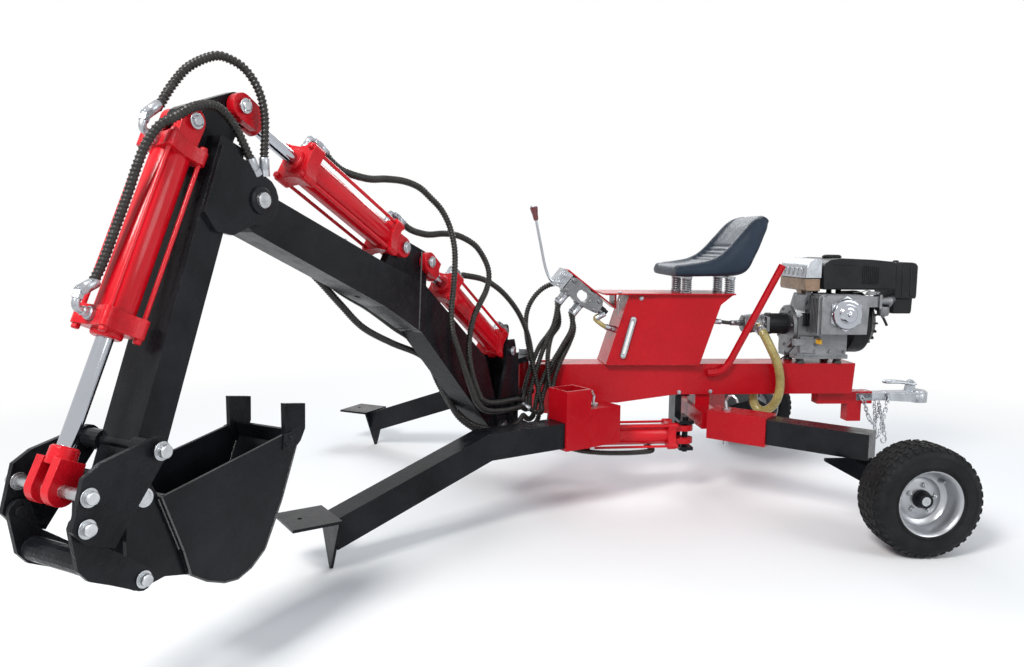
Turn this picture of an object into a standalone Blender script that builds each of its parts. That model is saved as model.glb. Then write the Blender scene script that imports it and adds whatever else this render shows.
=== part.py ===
"""Towable ride-on backhoe trencher: a tubular chassis on two wheels and two spiked legs, with a
hydraulic boom, dipper and bucket that swing on a post at its nose.  Metres, +Z up, rear towards +X.

Chassis pieces are laid out from the swing axis (x = 0, y = 0) and the ground (z = 0).  Pieces of
the digging arm are laid out in the arm's own upright plane: x outwards from the swing axis, z up,
y towards the operator's left, and the plane is then turned by SWING_REST."""

import bmesh
import bpy
from math import atan2, cos, hypot, pi, radians, sin, sqrt
from mathutils import Matrix, Vector

# ---------------------------------------------------------------- driving dimensions
GAP = 0.0003                      # between pieces that rest on each other
PIN_GAP = 0.0004                  # radial play of a pin in its bore
SIDE_GAP = 0.0015                 # play beside a lug or a plate that turns
SWING_REST = radians(58)          # arm swung out over the left front leg

# chassis beam
BEAM_HALF = 0.075
BEAM_TOP = 0.575
BEAM_BOTTOM = 0.440
HULL_BOTTOM = 0.405
BEAM_REAR = 1.465
BEAM_NOSE = 0.067
WALL = 0.006

# swing pivot
HOUSING_R = 0.038
KINGPIN_R = 0.016
HOUSING_LOW = 0.462
HOUSING_HIGH = 0.585

# legs
LEG = 0.100                       # square tube of all four legs
LEG_WALL = 0.005
SOCKET_FIT = 0.0008               # leg in socket, each side
SOCKET_WALL = 0.009
FRONT_SPIKE = (-0.758, 0.856)     # tip of a front spike, x and distance from the centre plane
FRONT_SPLAY = radians(29.3)
FRONT_LEG_Z = 0.343
FRONT_BEND = 0.640                # along the leg, from its spike
FRONT_FOOT = 0.045
FOOT_Z = 0.130
REAR_SPLAY = radians(42)
REAR_LEG_Z = 0.345
REAR_LEG_END = (1.265, 0.620)

# wheels
WHEEL_X = 1.347
WHEEL_Y = 0.811
TYRE_R = 0.203
TYRE_HALF = 0.082
RIM_R = 0.114
WHEEL_Z = TYRE_R
HUB_BORE_R = 0.0165

# boom, in the arm plane (x outwards, z up)
FOOT_PIVOT = (0.300, 0.355)
LIFT_BASE = (0.235, 0.655)
LIFT_ROD = (0.800, 1.027)
CROWD_BASE = (0.950, 1.077)
CROWD_ROD = (1.633, 1.427)
ELBOW = (1.618, 1.197)
BOOM_HALF = 0.045
CHEEK = 0.012                     # thickness of a welded side plate
TAB_HALF = 0.013                  # half the thickness of a plate that a clevis straddles

# dipper
DIPPER_LEAN = radians(21.1)
DIPPER_OFFSET = 0.115
DIPPER_HALF_Y = 0.060
DIPPER_HALF_X = 0.040
DIPPER_NOSE = 0.036               # round end, inside the sweep of the bucket's back edge
CURL_BASE = (1.786, 1.371)
ROCKER_PIVOT = (1.987, 0.649)
CURL_ROD = (2.151, 0.590)
LINK_TOP = (2.159, 0.528)
LINK_LOW = (2.025, 0.371)
BUCKET_PIVOT = (2.010, 0.547)
BUCKET_HALF = 0.106
EAR_IN = 0.0800                   # inner face of the bucket's ears
PLATE_STEP = 0.0140               # from one plate of the linkage to the next
LINK_PLATE = 0.0120

# hydraulic cylinders
CYL_BORE = 0.038
CYL_TUBE = 0.044
CYL_CAP = 0.054
CYL_ROD = 0.0185
TIE_R = 0.0065
CYL_BODY = 0.520                  # base pin to the face of the head cap
SWING_CYL_BODY = 0.480
PISTON_BACK = 0.500               # rod pin to the piston's middle
SWING_PISTON_BACK = 0.478
CLEVIS_R = 0.032
CLEVIS_HALF = 0.040
CLEVIS_SHANK = 0.085
PIN_R = 0.0125

# swing cylinder, lying under the chassis
SWING_ARM = (0.071, 0.150)        # its pin on the swing post, in the arm's plan
SWING_ANCHOR = (0.695, -0.110)
SWING_CYL_Z = 0.275

# console and deck
CONSOLE_HALF = 0.110
CONSOLE_NOSE_HALF = 0.100
DECK_Z = 0.878
DECK_T = 0.006
SEAT_Z = 0.955
SEAT_HALF = 0.205

# engine and pump
CRANK_Z = 0.745
ENGINE_FLOOR = 0.600
PLATE_T = 0.010

ROUND = 16                        # sides of an ordinary round bar or bore


# ---------------------------------------------------------------- materials
def material(name, rgb, rough, metal=0.0):
    mat = bpy.data.materials.new(name)
    mat.use_nodes = True
    shader = mat.node_tree.nodes["Principled BSDF"]
    shader.inputs["Base Color"].default_value = (*rgb, 1.0)
    shader.inputs["Roughness"].default_value = rough
    shader.inputs["Metallic"].default_value = metal
    return mat


def clear_scene():
    for obj in list(bpy.data.objects):
        bpy.data.objects.remove(obj, do_unlink=True)


# ---------------------------------------------------------------- solids
def solid(bm):
    """A bmesh becomes a loose object, faces outwards, ready to be joined or cut."""
    bmesh.ops.recalc_face_normals(bm, faces=bm.faces)
    mesh = bpy.data.meshes.new("solid")
    bm.to_mesh(mesh)
    bm.free()
    obj = bpy.data.objects.new("solid", mesh)
    bpy.context.scene.collection.objects.link(obj)
    return obj


def extrude(outline, direction):
    """Extrude a closed outline of 3-D points along a vector."""
    bm = bmesh.new()
    verts = [bm.verts.new(point) for point in outline]
    face = bm.faces.new(verts)
    side = bmesh.ops.extrude_face_region(bm, geom=[face])["geom"]
    moved = [item for item in side if isinstance(item, bmesh.types.BMVert)]
    bmesh.ops.translate(bm, verts=moved, vec=Vector(direction))
    return solid(bm)


def plate(outline, y0, y1):
    """A plate in an upright plane: its outline in x and z, from y0 to y1."""
    return extrude([(x, y0, z) for x, z in outline], (0, y1 - y0, 0))


def slab(outline, z0, z1):
    """A level plate: its outline in x and y, from z0 to z1."""
    return extrude([(x, y, z0) for x, y in outline], (0, 0, z1 - z0))


def box(x0, x1, y0, y1, z0, z1):
    return slab([(x0, y0), (x1, y0), (x1, y1), (x0, y1)], z0, z1)


def across(direction):
    """Two unit vectors square to a direction."""
    axis = Vector(direction).normalized()
    helper = Vector((0, 0, 1)) if abs(axis.z) < 0.9 else Vector((0, 1, 0))
    side = axis.cross(helper).normalized()
    return side, axis.cross(side)


def bar(start, end, radius, sides=ROUND):
    """A round bar between two points."""
    start, end = Vector(start), Vector(end)
    side, up = across(end - start)
    angles = [2 * pi * (i + 0.5) / sides for i in range(sides)]
    ring = [start + side * radius * cos(a) + up * radius * sin(a) for a in angles]
    return extrude(ring, end - start)


def turned(profile, centre, axis, sides=ROUND):
    """Turn a closed profile of (distance along the axis, radius) points about an axis."""
    axis = Vector(axis).normalized()
    side, up = across(axis)
    bm = bmesh.new()
    rings = []
    for i in range(sides):
        angle = 2 * pi * (i + 0.5) / sides
        out = side * cos(angle) + up * sin(angle)
        rings.append([bm.verts.new(Vector(centre) + axis * a + out * r) for a, r in profile])
    for i, ring in enumerate(rings):
        following = rings[(i + 1) % sides]
        for j in range(len(profile)):
            k = (j + 1) % len(profile)
            bm.faces.new((ring[j], ring[k], following[k], following[j]))
    return solid(bm)


def swept(points, radius, sides=10):
    """A round bar along a list of points, filled at both ends."""
    curve = bpy.data.curves.new("path", "CURVE")
    curve.dimensions = "3D"
    curve.bevel_depth = radius
    curve.bevel_resolution = (sides - 4) // 2
    curve.use_fill_caps = True
    spline = curve.splines.new("POLY")
    spline.points.add(len(points) - 1)
    for target, point in zip(spline.points, points):
        target.co = (*point, 1.0)
    obj = bpy.data.objects.new("path", curve)
    bpy.context.scene.collection.objects.link(obj)
    return obj


def smooth_route(route, count):
    """Points of a Catmull-Rom curve through the route's own points."""
    route = [Vector(p) for p in route]
    ends = [route[0] * 2 - route[1]] + route + [route[-1] * 2 - route[-2]]
    points = []
    spans = len(route) - 1
    for n in range(count):
        at = n * spans / (count - 1)
        i = min(int(at), spans - 1)
        t = at - i
        a, b, c, d = ends[i:i + 4]
        points.append(0.5 * (2 * b + (c - a) * t + (2 * a - 5 * b + 4 * c - d) * t ** 2
                             + (3 * b - a - 3 * c + d) * t ** 3))
    return points


def evaluated(obj):
    """The object's mesh with its modifiers applied."""
    bpy.context.view_layer.update()
    depsgraph = bpy.context.evaluated_depsgraph_get()
    return bpy.data.meshes.new_from_object(obj.evaluated_get(depsgraph))


def combine(base, tools, operation):
    for tool in tools:
        mod = base.modifiers.new("combine", "BOOLEAN")
        mod.operation = operation
        mod.solver = "EXACT"
        mod.object = tool
    mesh = evaluated(base)
    base.modifiers.clear()
    base.data = mesh
    for tool in tools:
        bpy.data.objects.remove(tool, do_unlink=True)
    return base


def join(base, *tools):
    return combine(base, tools, "UNION")


def cut(base, *tools):
    return combine(base, tools, "DIFFERENCE")


def arc(centre, radius, start, end, steps=6):
    """Outline points on an arc, angles in degrees."""
    angles = [radians(start + (end - start) * i / steps) for i in range(steps + 1)]
    return [(centre[0] + radius * cos(a), centre[1] + radius * sin(a)) for a in angles]


def inset(outline, wall):
    """The outline moved inwards by a wall thickness."""
    area = sum(a[0] * b[1] - b[0] * a[1] for a, b in zip(outline, outline[1:] + outline[:1]))
    turn = 1 if area > 0 else -1
    moved = []
    for i, point in enumerate(outline):
        before, after = outline[i - 1], outline[(i + 1) % len(outline)]
        d1 = Vector((point[0] - before[0], point[1] - before[1])).normalized()
        d2 = Vector((after[0] - point[0], after[1] - point[1])).normalized()
        n1 = Vector((-d1.y, d1.x)) * turn
        n2 = Vector((-d2.y, d2.x)) * turn
        mitre = (n1 + n2) / max(0.3, 1 + n1.dot(n2))
        moved.append((point[0] + mitre.x * wall, point[1] + mitre.y * wall))
    return moved


# ---------------------------------------------------------------- placing
ROOT = None


def arm_frame():
    return Matrix.Rotation(pi + SWING_REST, 4, "Z")


def arm_axis():
    """Direction of the arm's pins: positive turns lift what lies outwards."""
    return arm_frame().to_3x3() @ Vector((0, -1, 0))


def in_arm(point, y=0.0):
    return arm_frame() @ Vector((point[0], y, point[1]))


def leg_frame(side):
    """Front leg: origin under the spike, x inwards along the leg, y outwards of it."""
    turn = FRONT_SPLAY if side < 0 else -FRONT_SPLAY
    place = Matrix.Translation((FRONT_SPIKE[0], side * FRONT_SPIKE[1], 0))
    return place @ Matrix.Rotation(turn, 4, "Z")


def rear_frame(side):
    """Rear leg: origin under its outer end, x inwards along the leg."""
    turn = pi - REAR_SPLAY if side < 0 else pi + REAR_SPLAY
    place = Matrix.Translation((REAR_LEG_END[0], side * REAR_LEG_END[1], 0))
    return place @ Matrix.Rotation(turn, 4, "Z")


def cylinder_frame(base, rod, y=0.0):
    """Cylinder of the arm: x from its base pin to its rod pin."""
    lift = atan2(rod[1] - base[1], rod[0] - base[0])
    place = Matrix.Translation((base[0], y, base[1]))
    return arm_frame() @ place @ Matrix.Rotation(-lift, 4, "Y")


def swing_cylinder_frame():
    arm_pin = arm_frame() @ Vector((SWING_ARM[0], SWING_ARM[1], 0))
    dx = arm_pin.x - SWING_ANCHOR[0]
    dy = arm_pin.y - SWING_ANCHOR[1]
    place = Matrix.Translation((SWING_ANCHOR[0], SWING_ANCHOR[1], SWING_CYL_Z))
    turn = Matrix.Rotation(atan2(dy, dx), 4, "Z")
    return place @ turn @ Matrix.Rotation(pi / 2, 4, "X")


def swing_cylinder_length():
    arm_pin = arm_frame() @ Vector((SWING_ARM[0], SWING_ARM[1], 0))
    return hypot(arm_pin.x - SWING_ANCHOR[0], arm_pin.y - SWING_ANCHOR[1])


def place(name, obj, mat, frame=None, pivot=(0, 0, 0)):
    """Name a finished solid; its origin goes to its pivot, given in its own frame."""
    frame = frame or Matrix.Identity(4)
    if obj.type == "CURVE":
        obj.data.materials.append(mat)
        obj.matrix_world = frame
    else:
        mesh = obj.data
        mesh.materials.clear()
        mesh.materials.append(mat)
        for face in mesh.polygons:
            face.material_index = 0
        mesh.transform(Matrix.Translation(-Vector(pivot)))
        mesh.shade_smooth()
        mesh.set_sharp_from_angle(angle=radians(35))
        obj.matrix_world = frame @ Matrix.Translation(pivot)
    obj.name = name
    obj.data.name = name
    obj.parent = ROOT
    return obj


# ---------------------------------------------------------------- chassis
BEAM_OUTLINE = [
    (BEAM_NOSE, 0.515), (0.114, BEAM_TOP), (BEAM_REAR, BEAM_TOP), (BEAM_REAR - 0.010, BEAM_BOTTOM),
    (0.660, BEAM_BOTTOM), (0.400, HULL_BOTTOM), (0.165, HULL_BOTTOM), (0.107, 0.455),
]


def main_beam(mat):
    beam = plate(BEAM_OUTLINE, -BEAM_HALF, BEAM_HALF)
    mid = (HOUSING_LOW + HOUSING_HIGH) / 2
    neck = box(0.0, BEAM_NOSE + 0.04, -0.030, 0.030, mid - 0.045, mid + 0.045)
    housing = bar((0, 0, HOUSING_LOW), (0, 0, HOUSING_HIGH), HOUSING_R)
    join(beam, neck, housing)
    hollow = plate(inset(BEAM_OUTLINE, WALL), -BEAM_HALF + WALL, BEAM_HALF - WALL)
    drain = bar((1.30, 0, BEAM_BOTTOM - 0.02), (1.30, 0, BEAM_BOTTOM + 0.03), 0.012, 12)
    bore = bar((0, 0, HOUSING_LOW - 0.01), (0, 0, HOUSING_HIGH + 0.01), KINGPIN_R + PIN_GAP)
    cut(beam, hollow, drain, bore)
    return place("main_beam", beam, mat)


FRONT_MOUTH = 0.985               # along the leg, where the socket begins
FRONT_COLLAR = 0.120
FRONT_SOCKET = 0.275
FRONT_COLLAR_TOP = 0.520
SOCKET_HALF = LEG / 2 + SOCKET_FIT + SOCKET_WALL
FRONT_SOCKET_LOW = FRONT_LEG_Z - SOCKET_HALF
FRONT_SOCKET_HIGH = FRONT_LEG_Z + SOCKET_HALF + 0.035
CROSS_X = (0.175, 0.290)


def front_crossmember(mat):
    """Cross tube under the hull with a socket and an upright collar welded to each end."""
    bar_z = (HULL_BOTTOM - GAP - 0.062, HULL_BOTTOM - GAP)
    cross = box(*CROSS_X, -0.290, 0.290, *bar_z)
    shells = []
    cavities = [box(CROSS_X[0] + WALL, CROSS_X[1] - WALL, -0.20, 0.20,
                    bar_z[0] + WALL, bar_z[1] - WALL)]
    cavities.append(bar((0.230, 0, bar_z[0] - 0.01), (0.230, 0, bar_z[0] + 0.02), 0.010, 12))
    for side in (-1, 1):
        frame = leg_frame(side)
        mouth = FRONT_MOUTH
        tube = box(mouth, mouth + FRONT_SOCKET, -SOCKET_HALF, SOCKET_HALF,
                   FRONT_SOCKET_LOW, FRONT_SOCKET_HIGH)
        collar = box(mouth - 0.001, mouth + FRONT_COLLAR, -SOCKET_HALF - 0.001, SOCKET_HALF + 0.001,
                     FRONT_SOCKET_LOW - 0.001, FRONT_COLLAR_TOP)
        inner = LEG / 2 + SOCKET_FIT
        leg_hole = box(mouth - 0.01, mouth + FRONT_SOCKET - 0.020, -inner, inner,
                       FRONT_LEG_Z - inner, FRONT_LEG_Z + inner)
        collar_hole = box(mouth + SOCKET_WALL, mouth + FRONT_COLLAR - SOCKET_WALL,
                          0.001 - inner, inner - 0.001, FRONT_LEG_Z, FRONT_COLLAR_TOP + 0.01)
        pin_x = mouth + FRONT_COLLAR + 0.060
        pin_hole = bar((pin_x, 0, FRONT_SOCKET_LOW - 0.01), (pin_x, 0, FRONT_SOCKET_HIGH + 0.01),
                       PIN_R - 0.0025 + PIN_GAP, 16)
        for piece in (tube, collar, leg_hole, collar_hole, pin_hole):
            piece.data.transform(frame)
        shells += [tube, collar]
        cavities += [leg_hole, collar_hole, pin_hole]
    join(cross, *shells)
    cut(cross, *cavities)
    return place("front_crossmember", cross, mat)


REAR_MOUTH = 0.390                # along the rear leg, from its outer end
REAR_SOCKET = 0.250
REAR_CROSS_X = (0.740, 0.825)


def rear_crossmember(mat):
    """Cross tube under the beam with the two rear sockets, on a gusset to the beam."""
    top = BEAM_BOTTOM - GAP
    cross = box(*REAR_CROSS_X, -0.200, 0.200, REAR_LEG_Z - 0.030, REAR_LEG_Z + 0.040)
    riser = box(REAR_CROSS_X[0] + 0.012, REAR_CROSS_X[1] - 0.010, -0.060, 0.060,
                REAR_LEG_Z + 0.030, top)
    shells = [riser]
    cavities = [box(REAR_CROSS_X[0] + WALL, REAR_CROSS_X[1] - WALL, -0.12, 0.12,
                    REAR_LEG_Z - 0.030 + WALL, REAR_LEG_Z + 0.040 - WALL)]
    drain = (REAR_CROSS_X[0] + REAR_CROSS_X[1]) / 2
    cavities.append(bar((drain, 0, REAR_LEG_Z - 0.04), (drain, 0, REAR_LEG_Z - 0.01), 0.010, 12))
    for side in (-1, 1):
        frame = rear_frame(side)
        inner = LEG / 2 + SOCKET_FIT
        tube = box(REAR_MOUTH, REAR_MOUTH + REAR_SOCKET, -SOCKET_HALF, SOCKET_HALF,
                   REAR_LEG_Z - SOCKET_HALF, REAR_LEG_Z + SOCKET_HALF)
        hole = box(REAR_MOUTH - 0.01, REAR_MOUTH + REAR_SOCKET - 0.025, -inner, inner,
                   REAR_LEG_Z - inner, REAR_LEG_Z + inner)
        pin_x = REAR_MOUTH + REAR_SOCKET - 0.060
        pin_hole = bar((pin_x, 0, REAR_LEG_Z - 0.08), (pin_x, 0, REAR_LEG_Z + 0.08),
                       PIN_R - 0.0025 + PIN_GAP, 16)
        for piece in (tube, hole, pin_hole):
            piece.data.transform(frame)
        shells.append(tube)
        cavities += [hole, pin_hole]
    join(cross, *shells)
    cut(cross, *cavities)
    return place("rear_crossmember", cross, mat)


def front_leg(side, mat):
    """Square tube, level in its socket, then down to the spiked foot welded on its end."""
    half = LEG / 2
    end = FRONT_MOUTH + FRONT_SOCKET - 0.022
    slope = atan2(FRONT_LEG_Z - FOOT_Z, FRONT_BEND - FRONT_FOOT)
    rise = half / cos(slope)
    bend_shift = half * (1 - cos(slope)) / sin(slope)
    outline = [
        (end, FRONT_LEG_Z - half), (end, FRONT_LEG_Z + half),
        (FRONT_BEND - bend_shift, FRONT_LEG_Z + half), (FRONT_FOOT, FOOT_Z + rise),
        (FRONT_FOOT, FOOT_Z - rise), (FRONT_BEND + bend_shift, FRONT_LEG_Z - half),
    ]
    leg = plate(outline, -half, half)
    spike = extrude([(FRONT_FOOT, -0.095, FOOT_Z + rise + 0.008),
                     (FRONT_FOOT, 0.095, FOOT_Z + rise + 0.008),
                     (FRONT_FOOT, 0.006, 0.0), (FRONT_FOOT, -0.006, 0.0)], (-0.010, 0, 0))
    flange = box(FRONT_FOOT - 0.165, FRONT_FOOT, -0.095, 0.095,
                 FOOT_Z + rise - 0.002, FOOT_Z + rise + 0.008)
    hole = bar((FRONT_FOOT - 0.11, 0, FOOT_Z), (FRONT_FOOT - 0.11, 0, FOOT_Z + 0.12), 0.008, 12)
    join(leg, spike, flange)
    inner = plate(inset(outline, LEG_WALL), -half + LEG_WALL, half - LEG_WALL)
    mouth = box(end - 0.03, end + 0.03, -half + LEG_WALL, half - LEG_WALL,
                FRONT_LEG_Z - half + LEG_WALL, FRONT_LEG_Z + half - LEG_WALL)
    pin_x = FRONT_MOUTH + FRONT_COLLAR + 0.060
    pin_hole = bar((pin_x, 0, FRONT_LEG_Z - 0.08), (pin_x, 0, FRONT_LEG_Z + 0.08),
                   PIN_R - 0.0025 + PIN_GAP, 16)
    cut(leg, inner, mouth, hole, pin_hole)
    name = "front_leg_left" if side < 0 else "front_leg_right"
    return place(name, leg, mat, leg_frame(side))


def rear_leg(side, mat):
    """Level square tube with a trailing cheek plate that carries the wheel's spindle."""
    half = LEG / 2
    length = REAR_MOUTH + REAR_SOCKET - 0.027
    tube = box(0, length, -half, half, REAR_LEG_Z - half, REAR_LEG_Z + half)
    bore = box(LEG_WALL, length + 0.01, -half + LEG_WALL, half - LEG_WALL,
               REAR_LEG_Z - half + LEG_WALL, REAR_LEG_Z + half - LEG_WALL)
    pin_x = REAR_MOUTH + REAR_SOCKET - 0.060
    pin_hole = bar((pin_x, 0, REAR_LEG_Z - 0.08), (pin_x, 0, REAR_LEG_Z + 0.08),
                   PIN_R - 0.0025 + PIN_GAP, 16)
    low = REAR_LEG_Z - half + 0.002
    cheek = [(1.085, low), (1.085, low - 0.012), (1.300, WHEEL_Z - 0.035),
             (WHEEL_X, WHEEL_Z - 0.042), (WHEEL_X + 0.042, WHEEL_Z),
             (WHEEL_X + 0.010, WHEEL_Z + 0.042), (1.270, low)]
    y0 = side * (REAR_LEG_END[1] - 0.010)
    cheek_plate = plate(cheek, min(y0, y0 + side * CHEEK), max(y0, y0 + side * CHEEK))
    spindle = bar((WHEEL_X, y0, WHEEL_Z), (WHEEL_X, side * (WHEEL_Y + 0.040), WHEEL_Z),
                  HUB_BORE_R - PIN_GAP)
    collar = bar((WHEEL_X, y0, WHEEL_Z), (WHEEL_X, side * (WHEEL_Y - 0.0805), WHEEL_Z), 0.028)
    back = rear_frame(side).inverted()
    for piece in (cheek_plate, spindle, collar):
        piece.data.transform(back)
    join(tube, cheek_plate, collar, spindle)
    cut(tube, bore, pin_hole)
    name = "rear_leg_left" if side < 0 else "rear_leg_right"
    return place(name, tube, mat, rear_frame(side))


def socket_pin(name, mat, frame, x, low, high):
    """Pull pin through socket and leg, with a bent handle on top."""
    shaft = bar((x, 0, low - 0.028), (x, 0, high + 0.004), PIN_R - 0.0025, 16)
    head = bar((x, 0, high + GAP), (x, 0, high + 0.009), 0.020, 16)
    route = smooth_route([(x, 0, high + 0.004), (x + 0.004, 0, high + 0.045),
                          (x - 0.018, 0, high + 0.062), (x - 0.038, 0, high + 0.055),
                          (x - 0.047, 0, high + 0.035)], 6)
    handle = swept(route, 0.006, 6)
    handle_mesh = solid_from(handle)
    join(shaft, head, handle_mesh)
    return place(name, shaft, mat, frame)


def solid_from(obj):
    """A swept curve becomes a plain mesh solid."""
    mesh = evaluated(obj)
    bm = bmesh.new()
    bm.from_mesh(mesh)
    bmesh.ops.remove_doubles(bm, verts=bm.verts, dist=1e-6)
    bpy.data.objects.remove(obj, do_unlink=True)
    return solid(bm)


def swing_bracket(mat):
    """Bracket bolted under the beam; two lugs hold the swing cylinder's anchor pin."""
    x, y = SWING_ANCHOR
    top = BEAM_BOTTOM - GAP
    base = box(x - 0.030, x + 0.030, -0.060, 0.060, top - 0.010, top)
    body = box(x - 0.030, x - 0.002, -0.050, 0.050, 0.205, top - 0.005)
    upper = box(x - 0.030, x + 0.030, y - 0.030, 0.020, 0.322, 0.336)
    lower = box(x - 0.030, x + 0.030, y - 0.030, 0.020, 0.206, 0.220)
    pin = bar((x, y, 0.196), (x, y, 0.350), PIN_R)
    join(base, body, upper, lower, pin)
    return place("swing_bracket", base, mat)


def swing_kingpin(mat):
    """Upright pin on which the whole arm swings."""
    shaft = bar((0, 0, 0.412), (0, 0, 0.628), KINGPIN_R)
    head = bar((0, 0, 0.6123), (0, 0, 0.634), 0.027, 6)
    join(shaft, head)
    return place("swing_kingpin", shaft, mat)


# ---------------------------------------------------------------- console, seat, controls
def console_half(x, z):
    """Half width of the console: its nose tapers in front of a slanted bend line."""
    t = (DECK_Z - z) / (DECK_Z - BEAM_TOP)
    bend = 0.554 - 0.091 * t
    nose = 0.438 - 0.096 * t
    if x >= bend:
        return CONSOLE_HALF
    return CONSOLE_NOSE_HALF + (CONSOLE_HALF - CONSOLE_NOSE_HALF) * (x - nose) / (bend - nose)


def console_tank(mat):
    """Oil tank that carries the deck: bent sheet, hollow, with a filler neck under the deck."""
    low, high = BEAM_TOP + GAP, DECK_Z - GAP

    def ring(z, xs, shrink):
        left = [(x, -(console_half(x, z) - shrink), z) for x in xs]
        right = [(x, console_half(x, z) - shrink, z) for x in reversed(xs)]
        return left + right

    def shell(shrink):
        rows = [(low + shrink, [0.342 + shrink, 0.463, 0.750 - shrink]),
                (0.835, [0.4245 + shrink, 0.541, 0.835 - shrink]),
                (high - shrink, [0.438 + shrink, 0.554, 0.888 - shrink])]
        bm = bmesh.new()
        rings = [[bm.verts.new(p) for p in ring(z, xs, shrink)] for z, xs in rows]
        for lower, upper in zip(rings, rings[1:]):
            for i in range(len(lower)):
                k = (i + 1) % len(lower)
                bm.faces.new((lower[i], lower[k], upper[k], upper[i]))
        bm.faces.new(rings[0])
        bm.faces.new(list(reversed(rings[-1])))
        bmesh.ops.triangulate(bm, faces=bm.faces)
        return solid(bm)

    tank = shell(0.0)
    neck = bar((0.80, 0, high - 0.03), (0.80, 0, high + 0.01), 0.020, 16)
    cut(tank, shell(0.004), neck)
    return place("console_tank", tank, mat)


def deck_plate(mat):
    deck = box(0.322, 0.893, -0.128, 0.128, DECK_Z, DECK_Z + DECK_T)
    return place("deck_plate", deck, mat)


def sight_gauge(mat):
    """Level gauge on the console's nose, lying on its slanted side."""
    outline = [(0.444, 0.785), (0.468, 0.785), (0.425, 0.603), (0.401, 0.603)]
    inner = [(x, -console_half(x, z) - GAP * 2, z) for x, z in outline]
    bm = bmesh.new()
    near = [bm.verts.new(p) for p in inner]
    far = [bm.verts.new((x, y - 0.012, z)) for x, y, z in inner]
    for i in range(4):
        k = (i + 1) % 4
        bm.faces.new((near[i], near[k], far[k], far[i]))
    bm.faces.new(near)
    bm.faces.new(list(reversed(far)))
    bmesh.ops.triangulate(bm, faces=bm.faces)
    return place("sight_gauge", solid(bm), mat)


SPRING_X = (0.690, 0.880)
SPRING_Y = 0.080


def seat_spring(name, x, mat):
    """A pair of spring legs tied by the strap that is bolted under the seat pan."""
    low = DECK_Z + DECK_T + GAP
    strap = box(x - 0.018, x + 0.018, -0.105, 0.105, SEAT_Z - 0.008, SEAT_Z - GAP)
    coils = [bar((x, y, low), (x, y, SEAT_Z - 0.004), 0.021, 16) for y in (-SPRING_Y, SPRING_Y)]
    join(strap, *coils)
    return place(name, strap, mat)


def seat(mat):
    """One-piece seat shell: pan and low backrest."""
    outline = [(0.612, SEAT_Z + 0.006), (0.605, SEAT_Z + 0.040), (0.665, 1.010), (0.775, 1.030),
               (0.860, 1.085), (0.960, 1.205), (0.995, 1.222), (1.030, 1.206), (0.925, 0.985),
               (0.895, SEAT_Z), (0.650, SEAT_Z)]
    return place("seat", plate(outline, -SEAT_HALF, SEAT_HALF), mat)


def grab_bar(mat):
    """Bent tube at the operator's left, welded to the beam's side."""
    y = -BEAM_HALF - 0.0163 - GAP
    route = smooth_route([(0.790, y, 0.535), (0.840, y, 0.540), (0.880, y, 0.572),
                          (0.925, y, 0.655), (1.015, y, 0.830), (1.105, y, 1.005)], 11)
    tube = solid_from(swept(route, 0.0163, 8))
    return place("grab_bar", tube, mat)


VALVE_TILT = radians(-38)
VALVE_AT = (0.240, 0.876)


def valve_frame():
    place_at = Matrix.Translation((VALVE_AT[0], 0, VALVE_AT[1]))
    return place_at @ Matrix.Rotation(-VALVE_TILT, 4, "Y")


def valve_bank(mat):
    """Stack of spool valves, tilted down to the rear; the lever stands at its front end."""
    body = box(-0.105, 0.105, -0.075, 0.075, -0.040, 0.040)
    outlet = box(-0.060, 0.095, -0.100, -0.060, -0.030, 0.030)
    front = box(-0.130, -0.100, -0.045, 0.045, -0.028, 0.028)
    ports = [bar((x, y, -0.060), (x, y, -0.030), 0.014, 12)
             for x in (-0.050, 0.000, 0.050) for y in (-0.045, 0.045)]
    join(body, outlet, front, *ports)
    return place("valve_bank", body, mat, valve_frame())


def valve_bracket(mat):
    """Strap under the deck's front edge; the valve bank is bolted to its underside."""
    strap = box(-0.110, 0.150, -0.060, 0.060, 0.040 + GAP, 0.047)
    strap.data.transform(valve_frame())
    riser = box(0.383, 0.391, -0.060, 0.060, 0.814, DECK_Z - GAP)
    flange = box(0.345, 0.391, -0.060, 0.060, DECK_Z - 0.0065, DECK_Z - GAP)
    join(strap, riser, flange)
    return place("valve_bracket", strap, mat)


LEVER_SIDE = 0.012                # half width of the yoke's block
LEVER_IN_VALVE = (-0.128, -0.068, -0.034)


def lever_pivot():
    return valve_frame() @ Vector(LEVER_IN_VALVE)


def lever_yoke(mat):
    """Block on a short trunnion at the valve's front: it tips sideways and carries the lever."""
    x, y, z = LEVER_IN_VALVE
    block = box(x - 0.014, x + 0.014, y - LEVER_SIDE, y + LEVER_SIDE, z - 0.014, z + 0.014)
    trunnion = bar((x, y, z), (-0.105 - GAP, y, z), 0.007, 16)
    join(block, trunnion)
    return place("lever_yoke", block, mat, valve_frame(), LEVER_IN_VALVE)


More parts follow.
